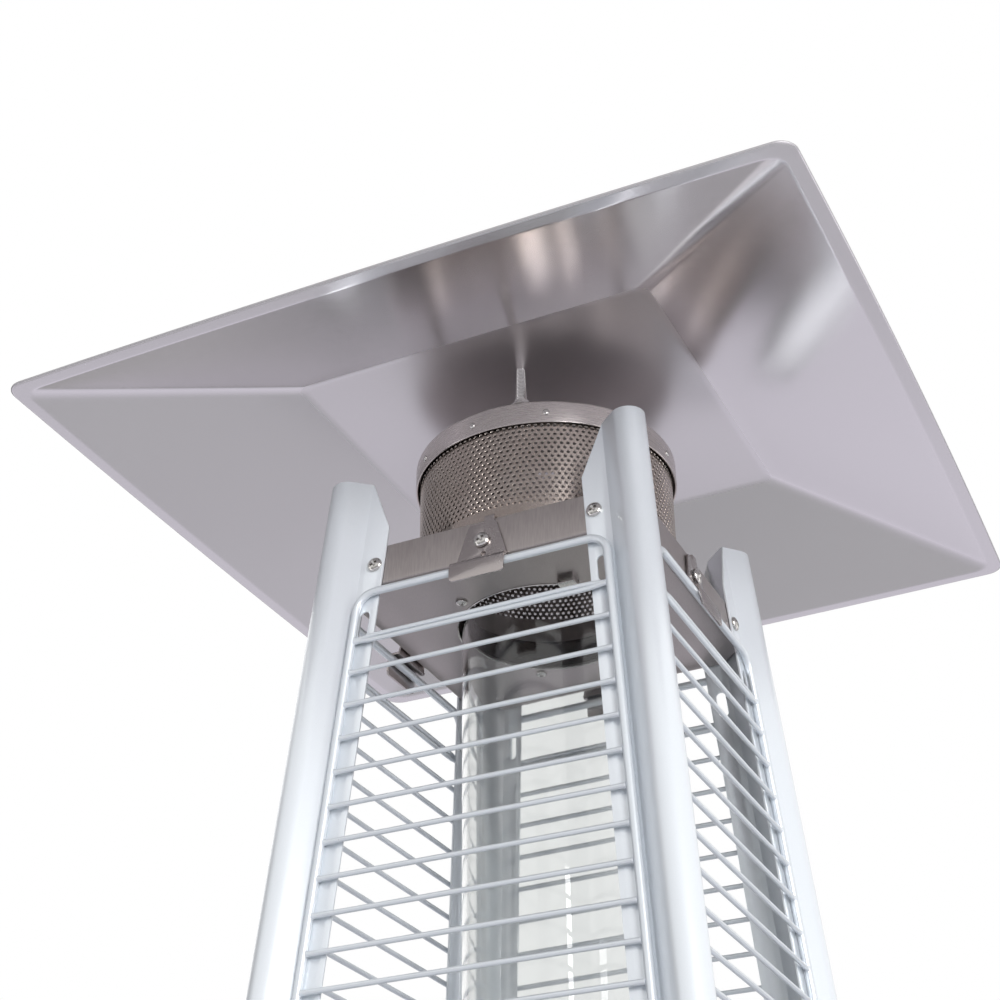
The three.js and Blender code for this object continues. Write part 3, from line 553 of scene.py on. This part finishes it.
def make_screen():
    """The perforated wall, painted dark inside as its shade, with its foot, the flue inside it and
    the cap on it.
    """
    radius, foot = screen_high[0], screen_low[2]
    first_row = plate_z + FIRST_ROW
    rows = int((cap_low[2] + 1.5 - first_row) / HOLE_PITCH)
    wall = perforated(radius, foot + 0.3, first_row, rows, HOLES_ROUND, HOLE_PITCH, HOLE_RADIUS,
                      DIMPLE, SCREEN_SHEET, screen_high[2])
    mesh = finished(as_mesh(wall, "flame_screen_wall"))
    mesh.materials.append(screen_steel)
    mesh.materials.append(painted_shade_steel)
    # Painted shade: faces on the inner half of the wall, inside it and in its holes, take the dark
    # steel
    middle = (radius - SCREEN_SHEET * 0.75) * MM
    for face in mesh.polygons:
        if math.hypot(*face.center[:2]) < middle:
            face.material_index = 1
    put("flame_screen_wall", mesh, screen_steel, replaces=["flame_screen"])
    inner = radius - SCREEN_SHEET - 0.25
    rise = plate_z + FOOT_RISE
    collar = [(FOOT_HOLE, foot), *filleted([(FOOT_HOLE + 1, foot), (inner, foot), (inner, rise)],
                                           [1.5])[1:], (inner - 0.8, rise),
              (inner - 0.8, foot + 1.6), (FOOT_HOLE, foot + 0.9), (FOOT_HOLE, foot)]
    put("screen_foot", revolve(collar, 96), brushed_steel)

    low, high = plate_z + FLUE_LOW, plate_z + FLUE_HIGH
    flue = [(FLUE_IN, low), (FLUE_OUT, low),
            *filleted([(FLUE_OUT, high - 0.8), (FLUE_OUT, high), (FLUE_IN, high),
                       (FLUE_IN, high - 0.8)], [0.5, 0.5], 3), (FLUE_IN, low)]
    # Painted shade: the flue collar down in the hole takes the dark steel too
    put("flue_collar", revolve(flue, 96), painted_shade_steel)

    r, low, top = cap_high[0], cap_low[2], cap_high[2]
    band = filleted([(r - 1.0, low + 0.6), (r, low), (r, top), (r - 20, top)], [0.45, 2.2], 5)
    under = top - CAP_SHEET
    inside = filleted([(r - 20, under), (r - 1.0, under), (r - 1.0, low + 0.6)], [1.2], 4)
    shell = revolve([*band, (r - 40, top), (5, top), (5, under), (r - 40, under), *inside], 128)
    put("screen_cap_shell", shell, band_steel, replaces=["screen_cap"])
    rivet = revolve([(2.0, -0.6), (2.0, 0.05), (1.75, 0.55), (1.1, 0.9), (0.3, 1.0)], 16)
    rivets = []
    for i in range(RIVETS):
        a = math.radians(RIVET_START) + i * 2 * math.pi / RIVETS
        m = (Matrix.Rotation(a, 4, "Z") @ Matrix.Translation((r, 0, rim_z + 1.5))
             @ Matrix.Rotation(math.pi / 2, 4, "Y"))
        rivets.append(rivet.moved(m))
    put("cap_rivets", merged(rivets), bright_zinc)


def make_studs():
    """The threaded studs between cap and pan, with their washers and nuts."""
    studs = sorted(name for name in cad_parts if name.startswith("reflector_stud_"))
    hexagon = closed_outline([(4.7 * math.cos(a), 4.7 * math.sin(a))
                              for a in np.arange(6) * math.pi / 3], 0.4, 3)
    for node in studs:
        i = node.rsplit("_", 1)[1]
        low, high = box_mm(node)
        place = Matrix.Translation((*((low[:2] + high[:2]) / 2), 0))
        foot, top = low[2], high[2]
        shoulder = plateau_z - 0.2
        washer = revolve([(6.1, foot), (6.4, foot + 0.3), (6.4, foot + 1.1), (6.0, foot + 1.6),
                          (4.4, foot + 1.9)], 36)
        low_nut = prism(hexagon, foot + 1.5, foot + 4.4)
        rod, z = [(3.0, foot + 0.2), (3.0, foot + 4.2)], foot + 4.6
        while z < shoulder - 1.0:
            r = 3.4 - 0.9 * (z - foot) / (shoulder - foot)
            rod += [(r - 0.18, z), (r, z + 0.25), (r - 0.18, z + 0.5)]
            z += 1.0
        rod += [(2.5, shoulder), (2.3, shoulder)]
        z = shoulder + 0.2
        while z < top - 0.8:
            rod += [(2.4, z), (2.1, z + 0.35)]
            z += 0.7
        rod += [(1.8, top)]
        shape = merged([washer, low_nut, revolve(rod, 24)])
        put(f"stud_{i}", shape.moved(place), bright_zinc, replaces=[node])
        low, high = box_mm(f"reflector_nut_{i}")
        nut = merged([prism(hexagon, low[2] + 0.8, high[2]),
                      revolve([(6.4, low[2] - 0.2), (6.5, low[2] + 0.1), (6.4, low[2] + 0.8),
                               (2.7, low[2] + 0.8)], 32)])
        put(f"nut_{i}", nut.moved(place), bright_zinc, replaces=[f"reflector_nut_{i}"])


# ---- Top plate -------------------------------------------

PLATE_SHEET, PLATE_BEND, PLATE_HOLE = 1.2, 2.2, 52.0
POST_SHEET, NOSE, NOSE_OUT, CREASE, FLANGE = 1.2, 9.4, 1.0, 14.5, 14.3
WEB = CREASE + POST_SHEET * math.sqrt(2)  # along a face, from the corner line to the web's back
PLATE_CORNER = WEB + GAP * math.sqrt(2)


def plate_ring(half, z, leg, straight=14, across=6):
    """A square with its corners cut off; each cut takes leg off both sides."""
    flat = half - leg
    side = [(half, flat * (-1 + 2 * (i + 0.5) / straight)) for i in range(straight)]
    side += [(half - leg * i / across, flat + leg * i / across) for i in range(across + 1)]
    return four_sides(side, z)


def round_ring(radius, z):
    square = plate_ring(100, z, 20)
    angle = np.arctan2(square[:, 1], square[:, 0])
    return np.column_stack([radius * np.cos(angle), radius * np.sin(angle), square[:, 2]])


def make_plate():
    """The tray: a round hole, a flat floor and upturned sides with the corners cut off."""
    z0, z1, hole = plate_z, plate_high[2], PLATE_HOLE
    outside = PLATE_CORNER - 2 * SETBACK
    inside = outside - (2 - math.sqrt(2)) * PLATE_SHEET
    rings = [round_ring(hole, z0 + PLATE_SHEET), round_ring(hole, z0 + 0.3),
             round_ring(hole + 0.3, z0), round_ring(56, z0), round_ring(60, z0)]
    rings += [plate_ring(h, z0, leg) for h, leg in ((66, 28), (74, 20))]
    outer = filleted([(80, z0), (sheet_half(z0), z0), (sheet_half(z1), z1)], [PLATE_BEND], 6)
    rings += [plate_ring(h, z, outside) for h, z in outer[:-1]]
    top = sheet_half(z1)
    rings += [plate_ring(top, z1 - 0.3, outside), plate_ring(top - 0.3, z1, outside),
              plate_ring(top - PLATE_SHEET + 0.2, z1, inside),
              plate_ring(top - PLATE_SHEET, z1 - 0.3, inside)]
    floor = z0 + PLATE_SHEET
    rings += [plate_ring(sheet_half(floor) - PLATE_SHEET, floor + 1.0, inside),
              plate_ring(sheet_half(floor) - PLATE_SHEET - 1.0, floor, inside)]
    rings += [plate_ring(74, floor, 20), plate_ring(66, floor, 28), round_ring(60, floor),
              round_ring(56, floor)]
    put("top_plate_shell", loft(rings, closed=True), brushed_steel, replaces=["top_plate"],
        sharp=30)


def make_plate_fittings():
    """Screws up into the plate beside its hole, and the little clip that guides a wire there."""
    under = Matrix.Translation((0, 0, plate_z)) @ Matrix.Rotation(math.pi, 4, "X")
    for i, (x, y) in enumerate(((-31, -51), (-29, 51.5), (30, 51)), 1):
        put(f"plate_screw_{i}", small_screw, bright_zinc,
            matrix=in_metres(Matrix.Translation((x, y, 0)) @ under))
    z, r = plate_z, PLATE_HOLE
    edge = [(r, z - 0.3), (r + 0.35, z - 0.65), (r + 0.7, z - 0.3), (r + 0.6, z + 0.1),
            (r + 0.1, z + 0.1), (r, z - 0.3)]
    # Partly painted highlight: a bead round the hole's rim, made in the lighter, glossier zinc so
    # that it shows as a bright edge line
    put("hole_edge", revolve(edge, 96), bright_zinc)
    shelf = block(27, 37, -52, -44, z - 3.4, z - 2.7)
    rises = [block(x, x + 0.7, -52, -44, z - 3.4, z) for x in (27, 36.3)]
    mesh = finished(worked(shelf, unions=rises, bevel=0.15), 30)
    put("wire_clip", mesh, bright_zinc)


# ---- Screws ----------------------------------------------


def pan_screw(radius, height, length, shank):
    """A pan-head screw with a cross recess, its head's underside at the origin."""
    dome = [(radius * math.sin(a), height * (0.32 + 0.68 * math.cos(a)))
            for a in np.linspace(math.pi / 2, 0.12, 9)]
    body = revolve([(shank, -length), (shank, 0), (radius - 0.25, 0), (radius, 0.25), *dome], 36)
    recess = []
    for turn in (0, math.pi / 2):
        wide, reach, deep = 0.13 * radius, 0.56 * radius, 0.75 * height
        rings = [np.column_stack([oblong(reach * 0.45, wide), [height - deep] * 4]),
                 np.column_stack([oblong(reach, wide * 1.25), [height + 0.4] * 4])]
        recess.append(loft(rings, caps=True).moved(Matrix.Rotation(turn + 0.5, 4, "Z")))
    return finished(worked(body, cutters=recess, bevel=0.06, segments=1, angle=50), 35)


clip_screw = pan_screw(4.5, 2.6, 7.0, 2.0)
post_screw = pan_screw(4.3, 2.5, 4.0, 2.0)
small_screw = pan_screw(3.3, 2.0, 3.0, 1.5)

# ---- Posts -----------------------------------------------

TOP_CUT, SLOT_WIDTH, SLOT_LENGTH, SLOT_DROP = 32.5, 6, 15.5, 24
POST_SCREW_RISE = 12.8


def arc(radius, start, stop, n):
    return [(radius * math.cos(a), radius * math.sin(a)) for a in np.linspace(start, stop, n)]


def post_outline():
    """Section of a post from the corner line: two flanges, slanted walls and a round nose."""
    quarter = math.pi / 2
    run = CREASE + NOSE_OUT
    meet = quarter + math.atan2(NOSE_OUT, run) + math.asin(NOSE / math.hypot(run, NOSE_OUT))
    inner = NOSE - POST_SHEET
    middle = NOSE_OUT * (math.cos(meet) + math.sin(meet))
    fold = (middle + inner + POST_SHEET * math.sin(meet)) / math.cos(meet)
    edge = -CREASE - FLANGE

    def nose(r, start, stop):
        return [(x + NOSE_OUT, y + NOSE_OUT) for x, y in arc(r, start, stop, 26)]

    return ([(edge, 0), (edge, -POST_SHEET), (fold, -POST_SHEET)]
            + nose(inner, meet, quarter - meet)
            + [(-POST_SHEET, fold), (-POST_SHEET, edge), (0, edge), (0, -CREASE)]
            + nose(NOSE, quarter - meet, meet) + [(-CREASE, 0)])


def slot_shape(width, length, depth):
    r, middle = width / 2, (length - width) / 2
    points = ([(x, z + middle) for x, z in arc(r, 0, math.pi, 12)]
              + [(x, z - middle) for x, z in arc(r, math.pi, 2 * math.pi, 12)])
    return upright(points, -depth, depth)


def make_posts():
    """Upper posts with their tops cut off aslant, a slot in each flange and a web; plain lower
    posts under them."""
    edge, buried = -CREASE - FLANGE, POST_SHEET / 2
    web = prism([(buried - CREASE, -buried), (buried - WEB, -buried), (-buried, buried - WEB),
                 (-buried, buried - CREASE)], box_high[2] + 4, post_top)
    chamfer = upright([(edge - 1, post_top - TOP_CUT * (1 + 1 / FLANGE)), (-CREASE, post_top),
                       (-CREASE, post_top + 1), (edge - 1, post_top + 1)], -4, 3)
    slot = slot_shape(SLOT_WIDTH, SLOT_LENGTH, 4).moved(
        Matrix.Translation((-CREASE - FLANGE / 2, 0, plate_z - SLOT_DROP)))
    mirror = Matrix(((0, 1, 0, 0), (1, 0, 0, 0), (0, 0, 1, 0), (0, 0, 0, 1)))
    tools = [chamfer, slot]
    tools += [t.moved(mirror).flipped() for t in tools]
    for level, z0, z1, cuts, webs in (("upper", post_joint + GAP, post_top, tools, [web]),
                                      ("lower", post_foot, post_joint, [], [])):
        blank = prism(post_outline(), z0, z1)
        mesh = worked(blank, cutters=cuts, unions=webs, bevel=0.25, angle=40)
        lean(mesh, 1, 1)
        finished(mesh, 30)
        for turns, corner in enumerate(CORNERS):
            put(f"post_{level}_{corner}", mesh, silver_paint, turns=turns,
                replaces=[f"{level}_post_{corner}"])


def make_post_screws():
    """One pan-head screw through each flange of the upper posts into the plate's flange."""
    z = plate_z + POST_SCREW_RISE
    across = face_half(z) - CREASE - FLANGE * 0.62
    for i in range(8):
        put(f"post_screw_{i + 1}", post_screw, bright_zinc, turns=i // 2,
            matrix=on_front(across if i % 2 else -across, z, SETBACK))


# ---- Guards and clips ------------------------------------

FRAME_WIRE, RUNG_WIRE, GUARD_INSET, BEND = 4.5, 2.8, 17.5, 11.0
RUNG_PITCH, DOUBLE_DROP, TOP_DROP = 19.1, 35.0, 6.0
WIRE_DEPTH = -GAP - FRAME_WIRE / 2


def make_guards():
    """A bent frame wire with rungs welded across it, the highest two side by side."""
    foot = box_mm("guard_front")[0][2] + FRAME_WIRE / 2
    top = plate_z - TOP_DROP

    def reach(z):
        return face_half(z) - GUARD_INSET

    corners = [(-reach(foot), foot), (reach(foot), foot), (reach(top), top), (-reach(top), top)]
    loop = closed_outline(corners, [7, 7, BEND, BEND], 9)
    points = []
    for a, b in zip(loop, np.roll(loop, -1, 0)):
        n = max(1, int(np.linalg.norm(b - a) / 60))
        points += [tuple(a + (b - a) * i / n) for i in range(n)]
    wires = [sweep([(x, WIRE_DEPTH, z) for x, z in points], FRAME_WIRE / 2, 14, closed=True)]

    def rung(z, offset=0.0):
        """One rung, flared where it is welded; offset parts a pair of them along their middle."""
        end, r = reach(z) - FRAME_WIRE / 2 + 0.35, RUNG_WIRE / 2
        xs = [-end, -end + 1.2, -end + 5, -end + 9, *np.linspace(-end + 16, end - 16, 7), end - 9,
              end - 5, end - 1.2, end]
        radii = [r * 1.35, r * 1.05, *[r] * 11, r * 1.05, r * 1.35]
        apart = [0.35, 0.35, 0.4, 0.85, *[1.0] * 7, 0.85, 0.5, 0.2, 0.1]
        return sweep([(x, WIRE_DEPTH, z + offset * a) for x, a in zip(xs, apart)],
                     np.array(radii), 10)

    first = plate_z - DOUBLE_DROP
    wires += [rung(first, RUNG_WIRE / 2 + 0.02), rung(first, -RUNG_WIRE / 2 - 0.02)]
    z = first - RUNG_PITCH
    while z > foot + RUNG_PITCH / 2:
        wires.append(rung(z))
        z -= RUNG_PITCH
    mesh = as_mesh(merged(wires), "guard")
    lean(mesh, 0, -1)
    finished(mesh, 50)
    # The wires take the silver paint's darker copy, painted shade
    for turns, side in enumerate(SIDES):
        put(f"guard_wires_{side}", mesh, shaded_wire_paint, turns=turns, replaces=[f"guard_{side}"])


CLIP_SCREW_RISE, CLIP_TOP, TAB_TOP, LIP_DEPTH, CLIP_HALF = 11.5, 23.0, 26.9, 12.7, 16.0


def clip_corner(side, z):
    """Cuts one lower corner of a clip's lip to a round."""
    r, wide = 2.6, CLIP_HALF
    run = [(wide + 1, z - 1), (wide + 1, z + r), (wide, z + r)]
    run += [(wide - r + x, z + r + y) for x, y in arc(r, 0, -math.pi / 2, 6)]
    run.append((wide - r, z - 1))
    return upright([(side * x, y) for x, y in run], -9, -3)


def make_clips():
    """Each clip has a tongue on the plate's side, a hook under the guard's wire and a tab."""
    sheet, shelf, bend = 1.2, plate_z - 1.5, 3.0
    top, front = plate_z + CLIP_TOP, -(GAP + FRAME_WIRE + GAP + 1.2)
    tongue = upright(closed_outline([(-15, shelf - sheet), (15, shelf - sheet), (15, shelf + 1),
                                     (8, top), (-8, top), (-15, shelf + 1)],
                                    [0, 0, 1.0, 2.4, 2.4, 1.0], 4), 0, sheet)
    low = shelf - LIP_DEPTH
    fold = [(sheet, shelf), *filleted([(sheet, shelf), (front, shelf), (front, low)], [bend],
                                      6)[1:], (front + sheet, low)]
    fold += [*filleted([(front + sheet, low), (front + sheet, shelf - sheet),
                        (sheet, shelf - sheet)], [bend - sheet], 6)[1:]]
    hook = prism(fold, -CLIP_HALF, CLIP_HALF).mapped(lambda y, z, x: (x, y, z))
    tab = block(1, 7, 0, sheet, top - 4, plate_z + TAB_TOP)
    tab_end = block(1, 7, 0, 4.6, plate_z + TAB_TOP - sheet, plate_z + TAB_TOP)
    across = Matrix.Rotation(math.pi / 2, 4, "X")
    hole = revolve([(2.3, -8), (2.3, 8)], 24).moved(
        Matrix.Translation((0, 0, plate_z + CLIP_SCREW_RISE)) @ across)
    vent = revolve([(1.5, -8), (1.5, 8)], 20).moved(
        Matrix.Translation((1, 0, plate_z + 3)) @ across)
    cuts = [hole, vent, clip_corner(1, low), clip_corner(-1, low)]
    mesh = worked(tongue, unions=[hook, tab, tab_end], cutters=cuts, bevel=0.3, segments=3,
                  angle=40)
    lean(mesh, 0, -1)
    finished(mesh, 30)
    place = on_front(0, plate_z + CLIP_SCREW_RISE, SETBACK + GAP)
    for turns, side in enumerate(SIDES):
        put(f"clip_{side}", mesh, clip_steel, turns=turns, replaces=[f"guard_clip_{side}"])
        put(f"clip_pan_screw_{side}", clip_screw, bright_zinc, turns=turns, matrix=place,
            replaces=[f"clip_screw_{side}"])


# ---- Glass tube ------------------------------------------


def make_tube():
    r, wall, cut = tube_high[0], 3.0, 0.8
    z0, z1 = tube_low[2], tube_high[2]
    heights = np.linspace(z0 + cut, z1 - cut, 6)
    profile = [(r - wall + cut, z0), (r - cut, z0), *[(r, z) for z in heights], (r - cut, z1),
               (r - wall + cut, z1), *[(r - wall, z) for z in heights[::-1]],
               (r - wall + cut, z0)]
    put("tube_glass", revolve(profile, 160), glass, replaces=["glass_tube"], sharp=25)


# ---- Lower section ---------------------------------------

CONTROL_Z, BUTTON_X, KNOB_BACK = 844.0, 72.0, 5.0
PANEL_SCREWS_Z, FRONT_SCREWS_Z = (120, 430, 740, 852), (852,)


def make_knob():
    """The dial with its flutes, raised grip and pointer, and the ring it is pushed into."""
    low, high = box_mm("control_knob")
    radius = high[0]
    place = on_front((low[0] + high[0]) / 2, CONTROL_Z)
    rim, face = radius - 0.3, KNOB_BACK + 15.0
    dial = revolve([(0.01, KNOB_BACK + 8.0), (4.4, KNOB_BACK + 8.0), (4.4, KNOB_BACK),
                    (radius - 0.8, KNOB_BACK), (rim, KNOB_BACK + 0.8), (rim, KNOB_BACK + 3.4),
                    (rim - 0.9, KNOB_BACK + 4.4), (rim - 3.2, face - 1.2), (rim - 4.6, face),
                    (0.01, face)], 96)
    grip = prism(closed_outline(oblong(5, 19), 3.2, 5), face - 3, face + 7)
    flutes = []
    for k in range(20):
        a = (k + 0.5) * math.pi / 10
        tool = revolve([(1.5, KNOB_BACK + 5.5), (1.5, face + 1)], 12)
        flutes.append(tool.moved(Matrix.Translation(((rim - 0.4) * math.cos(a),
                                                     (rim - 0.4) * math.sin(a), 0))))
    mesh = finished(worked(dial, unions=[grip], cutters=flutes, bevel=0.35, angle=40), 30)
    put("knob_dial", mesh, plastic, body="control_knob", matrix=place, replaces=["control_knob"])
    line = block(-0.7, 0.7, 5, 17.5, face + 6.7, face + 7.2)
    put("knob_pointer", line, bright_zinc, body="control_knob", matrix=place)
    for name, x, inner, outer in (("knob_ring", 0, radius + 0.7, radius + 4.2),
                                  ("button_ring", BUTTON_X, 9.8, 13.5)):
        ring = revolve([(inner, 0.05), (outer, 0.05), (outer, 0.6), (outer - 0.8, 1.3),
                        (inner + 0.8, 1.3), (inner, 0.7), (inner, 0.05)], 72)
        put(name, ring, bright_zinc, matrix=on_front(x, CONTROL_Z))
    for k, turn in enumerate((0, 60, 120, 180)):
        a = math.radians(90 + turn)
        tick = block(radius + 5, radius + (9.5 if k in (0, 3) else 7.5), -0.5, 0.5, 0.02, 0.22)
        put(f"dial_mark_{k + 1}", tick.moved(Matrix.Rotation(a, 4, "Z")), plastic,
            matrix=on_front(0, CONTROL_Z))


def make_wheel_hubs():
    """A raised ring and spokes on both sides of each wheel."""
    for side in ("left", "right"):
        low, high = box_mm(f"wheel_{side}")
        middle = (low + high) / 2
        width = high[0] - low[0]
        place = in_metres(Matrix.Translation(tuple(middle)) @ Matrix.Rotation(math.pi / 2, 4, "Y"))
        for face in (-1, 1):
            z = face * width / 2
            ring = revolve([(29.5, -0.2), (31.5, -0.2), (31.5, 0.5), (30.9, 0.9), (30.1, 0.9),
                            (29.5, 0.5), (29.5, -0.2)], 64)
            spokes = [block(13, 30, -1.6, 1.6, -0.2, 0.6).moved(
                Matrix.Rotation(k * math.pi / 3, 4, "Z")) for k in range(6)]
            trim = merged([ring, *spokes])
            if face < 0:
                trim = trim.moved(Matrix.Rotation(math.pi, 4, "X"))
            put(f"hub_{side}_{'outer' if face > 0 else 'inner'}",
                trim.moved(Matrix.Translation((0, 0, z))), plastic, body=f"wheel_{side}",
                matrix=place)


def make_lower_screws():
    """Screws through the lower posts' flanges into the panels, and through the box's sides."""
    index = 1
    for turns in range(4):
        for z in PANEL_SCREWS_Z if turns else FRONT_SCREWS_Z:
            across = face_half(z) - CREASE - FLANGE * 0.55
            for x in (-across, across):
                put(f"panel_screw_{index}", small_screw, bright_zinc, turns=turns,
                    matrix=on_front(x, z, SETBACK))
                index += 1


make_reflector()
make_screen()
make_studs()
make_plate()
make_plate_fittings()
make_posts()
make_post_screws()
make_guards()
make_clips()
make_tube()
make_knob()
make_wheel_hubs()
make_lower_screws()

# ---- CAD nodes that stay, with their own materials -------

KEPT = (
    (silver_paint, ("base_tray", "burner_box", "side_panel_right", "side_panel_back",
                    "side_panel_left", "door", "wheel_bracket")),
    (bright_zinc, ("wheel_axle", "door_handle", "hinge_leaf_lower", "hinge_leaf_upper",
                   "hinge_pin_lower", "hinge_pin_upper", "pilot_assembly", "valve_plunger",
                   "valve_stem")),
    (brass_look, ("gas_valve", "gas_inlet", "burner_pipe")),
    (iron, ("burner",)),
    (silicone, ("tube_seat",)),
    (plastic, ("igniter_button", "igniter_module")),
    (rubber, ("wheel_left", "wheel_right")),
)
LEFT_SHARP = ("burner", "wheel_left", "wheel_right", "burner_pipe")
for look, names in KEPT:
    for name in names:
        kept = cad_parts[name]
        kept.data.materials.clear()
        kept.data.materials.append(look)
        if name not in LEFT_SHARP:
            edges = kept.modifiers.new("edges", "BEVEL")
            edges.width, edges.segments, edges.limit_method = 0.3 * MM, 2, "ANGLE"
            edges.angle_limit = math.radians(40)

# ---- Floor, light and camera -----------------------------

AMBIENT = 0.50
HORIZON = 0.46  # how bright the far wall looks in mirrors; 1 is white, as straight rays see it
# The wall's tone by direction, from -X round to +Y; a dark doorway with a bright gap in it
WALL_TONES = ((-0.48, HORIZON), (-0.42, 0.22), (-0.345, 0.17), (-0.325, 1.0), (-0.255, 1.0),
              (-0.235, 0.28), (-0.215, 0.30), (-0.17, HORIZON))
WALL_RISE = (0.05, 0.25)  # the wall's foot and top, as the height of a direction
DARK_END, DARK_TONE = (-0.95, -0.68), 0.25  # the room is darker towards -X
FLOOR_RINGS = (9500, 6000, 3000, 1200, 400, 10)
FLOOR_COLOR, FLOOR_IN_MIRRORS = (0.80, 0.81, 0.84, 1), (0.90, 0.885, 0.985, 1)
FLOOR_FADE, WALL_FADE = (1.0, 5.0), (7.4, 9.2)  # metres from the heater


def ramp(tree, value, ends, low, high):
    """A smooth step in brightness between two values of its input."""
    return added(tree, "MapRange", {"Value": value, "From Min": ends[0], "From Max": ends[1],
                                    "To Min": low, "To Max": high}, "Result",
                 interpolation_type="SMOOTHSTEP")


def seen_ray(tree):
    """1 for camera, glossy and transmission rays, and 0 for the rays that light surfaces."""
    path = added(tree, "LightPath").outputs
    first = joined(tree, "MAXIMUM", path["Is Camera Ray"], path["Is Glossy Ray"])
    return joined(tree, "MAXIMUM", first, path["Is Transmission Ray"])


def mirror_ray(tree):
    """1 for rays that left a surface as its reflection, and 0 for all others."""
    path = added(tree, "LightPath").outputs
    return joined(tree, "SUBTRACT", path["Is Glossy Ray"], path["Is Transmission Ray"], True)


def in_mirrors(tree, strength):
    """The given strength for reflected rays, and white for the rest."""
    return added(tree, "Mix", {"Factor": mirror_ray(tree), "A": 1.0, "B": strength}, "Result")


def show_mix(tree, share, first, second, out):
    """Sends a mix of two shaders to the node that shows it."""
    mix = added(tree, "MixShader", {"Fac": share, 1: first, 2: second}, "Shader")
    fill(tree, tree.nodes[out], {"Surface": mix})


def make_floor():
    """A pale floor that fades to white away from the heater, and in mirrors to the wall's grey."""
    mesh = as_mesh(loft([circle(r, 0, 96) for r in FLOOR_RINGS]))
    mesh.transform(Matrix.Scale(MM, 4))
    o = new_object("floor", mesh)
    m = bpy.data.materials.new("floor")
    m.use_nodes = True
    tree = m.node_tree
    shader = tree.nodes["Principled BSDF"]
    fill(tree, shader, {"Base Color": FLOOR_COLOR, "Roughness": 0.8})
    away = added(tree, "VectorMath", {0: added(tree, "TexCoord", output="Object")}, "Value",
                 operation="LENGTH")
    color = mixed_color(tree, mirror_ray(tree), (1, 1, 1, 1), FLOOR_IN_MIRRORS)
    strength = in_mirrors(tree, ramp(tree, away, WALL_FADE, 1.0, HORIZON))
    white = added(tree, "Emission", {"Color": color, "Strength": strength}, "Emission")
    share = joined(tree, "MULTIPLY", ramp(tree, away, FLOOR_FADE, 0.0, 1.0), seen_ray(tree))
    show_mix(tree, share, shader.outputs["BSDF"], white, "Material Output")
    mesh.materials.append(m)


def make_world():
    """Even light from all round; straight rays see white, and mirrors a room with a far wall."""
    world = bpy.data.worlds.new("studio")
    scene.world = world
    world.use_nodes = True
    tree = world.node_tree
    soft = tree.nodes["Background"]
    fill(tree, soft, {"Color": (1, 1, 1, 1), "Strength": AMBIENT})
    parts = added(tree, "SeparateXYZ", {"Vector": added(tree, "TexCoord", output="Generated")})
    x, z = parts.outputs["X"], parts.outputs["Z"]
    wall = added(tree, "MapRange", {"Value": x, "From Min": -0.5, "From Max": 0.0}, "Result")
    tones = added(tree, "ValToRGB", {"Fac": wall})
    stops = tones.color_ramp.elements
    while len(stops) < len(WALL_TONES):
        stops.new(0.5)
    for stop, (place, tone) in zip(stops, WALL_TONES):
        stop.position, stop.color = 1 + 2 * place, (tone, tone, tone, 1)
    rise = added(tree, "Mix", {"Factor": ramp(tree, z, WALL_RISE, 0.0, 1.0),
                               "A": tones.outputs["Color"], "B": 1.0}, "Result")
    shade = joined(tree, "MULTIPLY", rise, ramp(tree, x, DARK_END, DARK_TONE, 1.0))
    white = added(tree, "Background", {"Color": (1, 1, 1, 1),
                                       "Strength": in_mirrors(tree, shade)}, "Background")
    show_mix(tree, seen_ray(tree), soft.outputs["Background"], white, "World Output")


def lamp(name, azimuth, distance, height, aim, width, tall, power):
    """A lamp on a circle about the heater, facing its axis at the height aim; the azimuth is in
    degrees from +X, lengths in metres, the power in watts."""
    light = bpy.data.lights.new(name, "AREA")
    light.shape = "RECTANGLE"
    light.size, light.size_y, light.energy = width, tall, power
    o = new_object(name, light)
    o.visible_camera = o.visible_transmission = False
    a = math.radians(azimuth)
    o.location = place = Vector((distance * math.cos(a), distance * math.sin(a), height))
    o.rotation_euler = (Vector((0, 0, aim)) - place).to_track_quat("-Z", "Y").to_euler()


CAMERA_TURNS = (-25.051, 31.787, -0.676)  # azimuth from +Y, rise and roll in degrees
CAMERA_X, CAMERA_Y, CAMERA_DROP = 0.3645, -0.8451, 0.5783  # the drop is below the rim


def make_camera():
    data = bpy.data.cameras.new("camera")
    data.lens, data.sensor_width = 65.61, 36.0
    data.clip_start, data.clip_end = 0.05, 60.0
    o = new_object("camera", data)
    azimuth, rise, roll = (math.radians(d) for d in CAMERA_TURNS)
    forward = Vector((math.sin(azimuth) * math.cos(rise), math.cos(azimuth) * math.cos(rise),
                      math.sin(rise)))
    level = forward.cross(Vector((0, 0, 1))).normalized()
    above = level.cross(forward)
    right = math.cos(roll) * level + math.sin(roll) * above
    up = -math.sin(roll) * level + math.cos(roll) * above
    m = Matrix((right, up, -forward)).transposed().to_4x4()
    m.translation = (CAMERA_X, CAMERA_Y, rim_z * MM - CAMERA_DROP)
    o.matrix_world = m
    scene.camera = o


make_floor()
make_world()
lamp("key", -47, 2.6, 2.35, 2.05, 0.9, 1.1, 42)
lamp("strip_right", -14.5, 2.7, 1.9, 1.9, 0.45, 1.8, 15)
lamp("strip_far", 41, 2.7, 1.9, 1.9, 0.7, 1.8, 5)
lamp("strip_left", -143, 2.7, 1.9, 1.9, 0.5, 1.8, 5)
lamp("back", 130, 2.4, 3.6, 1.6, 2.6, 2.6, 11)
make_camera()
scene.view_settings.view_transform = "Standard"
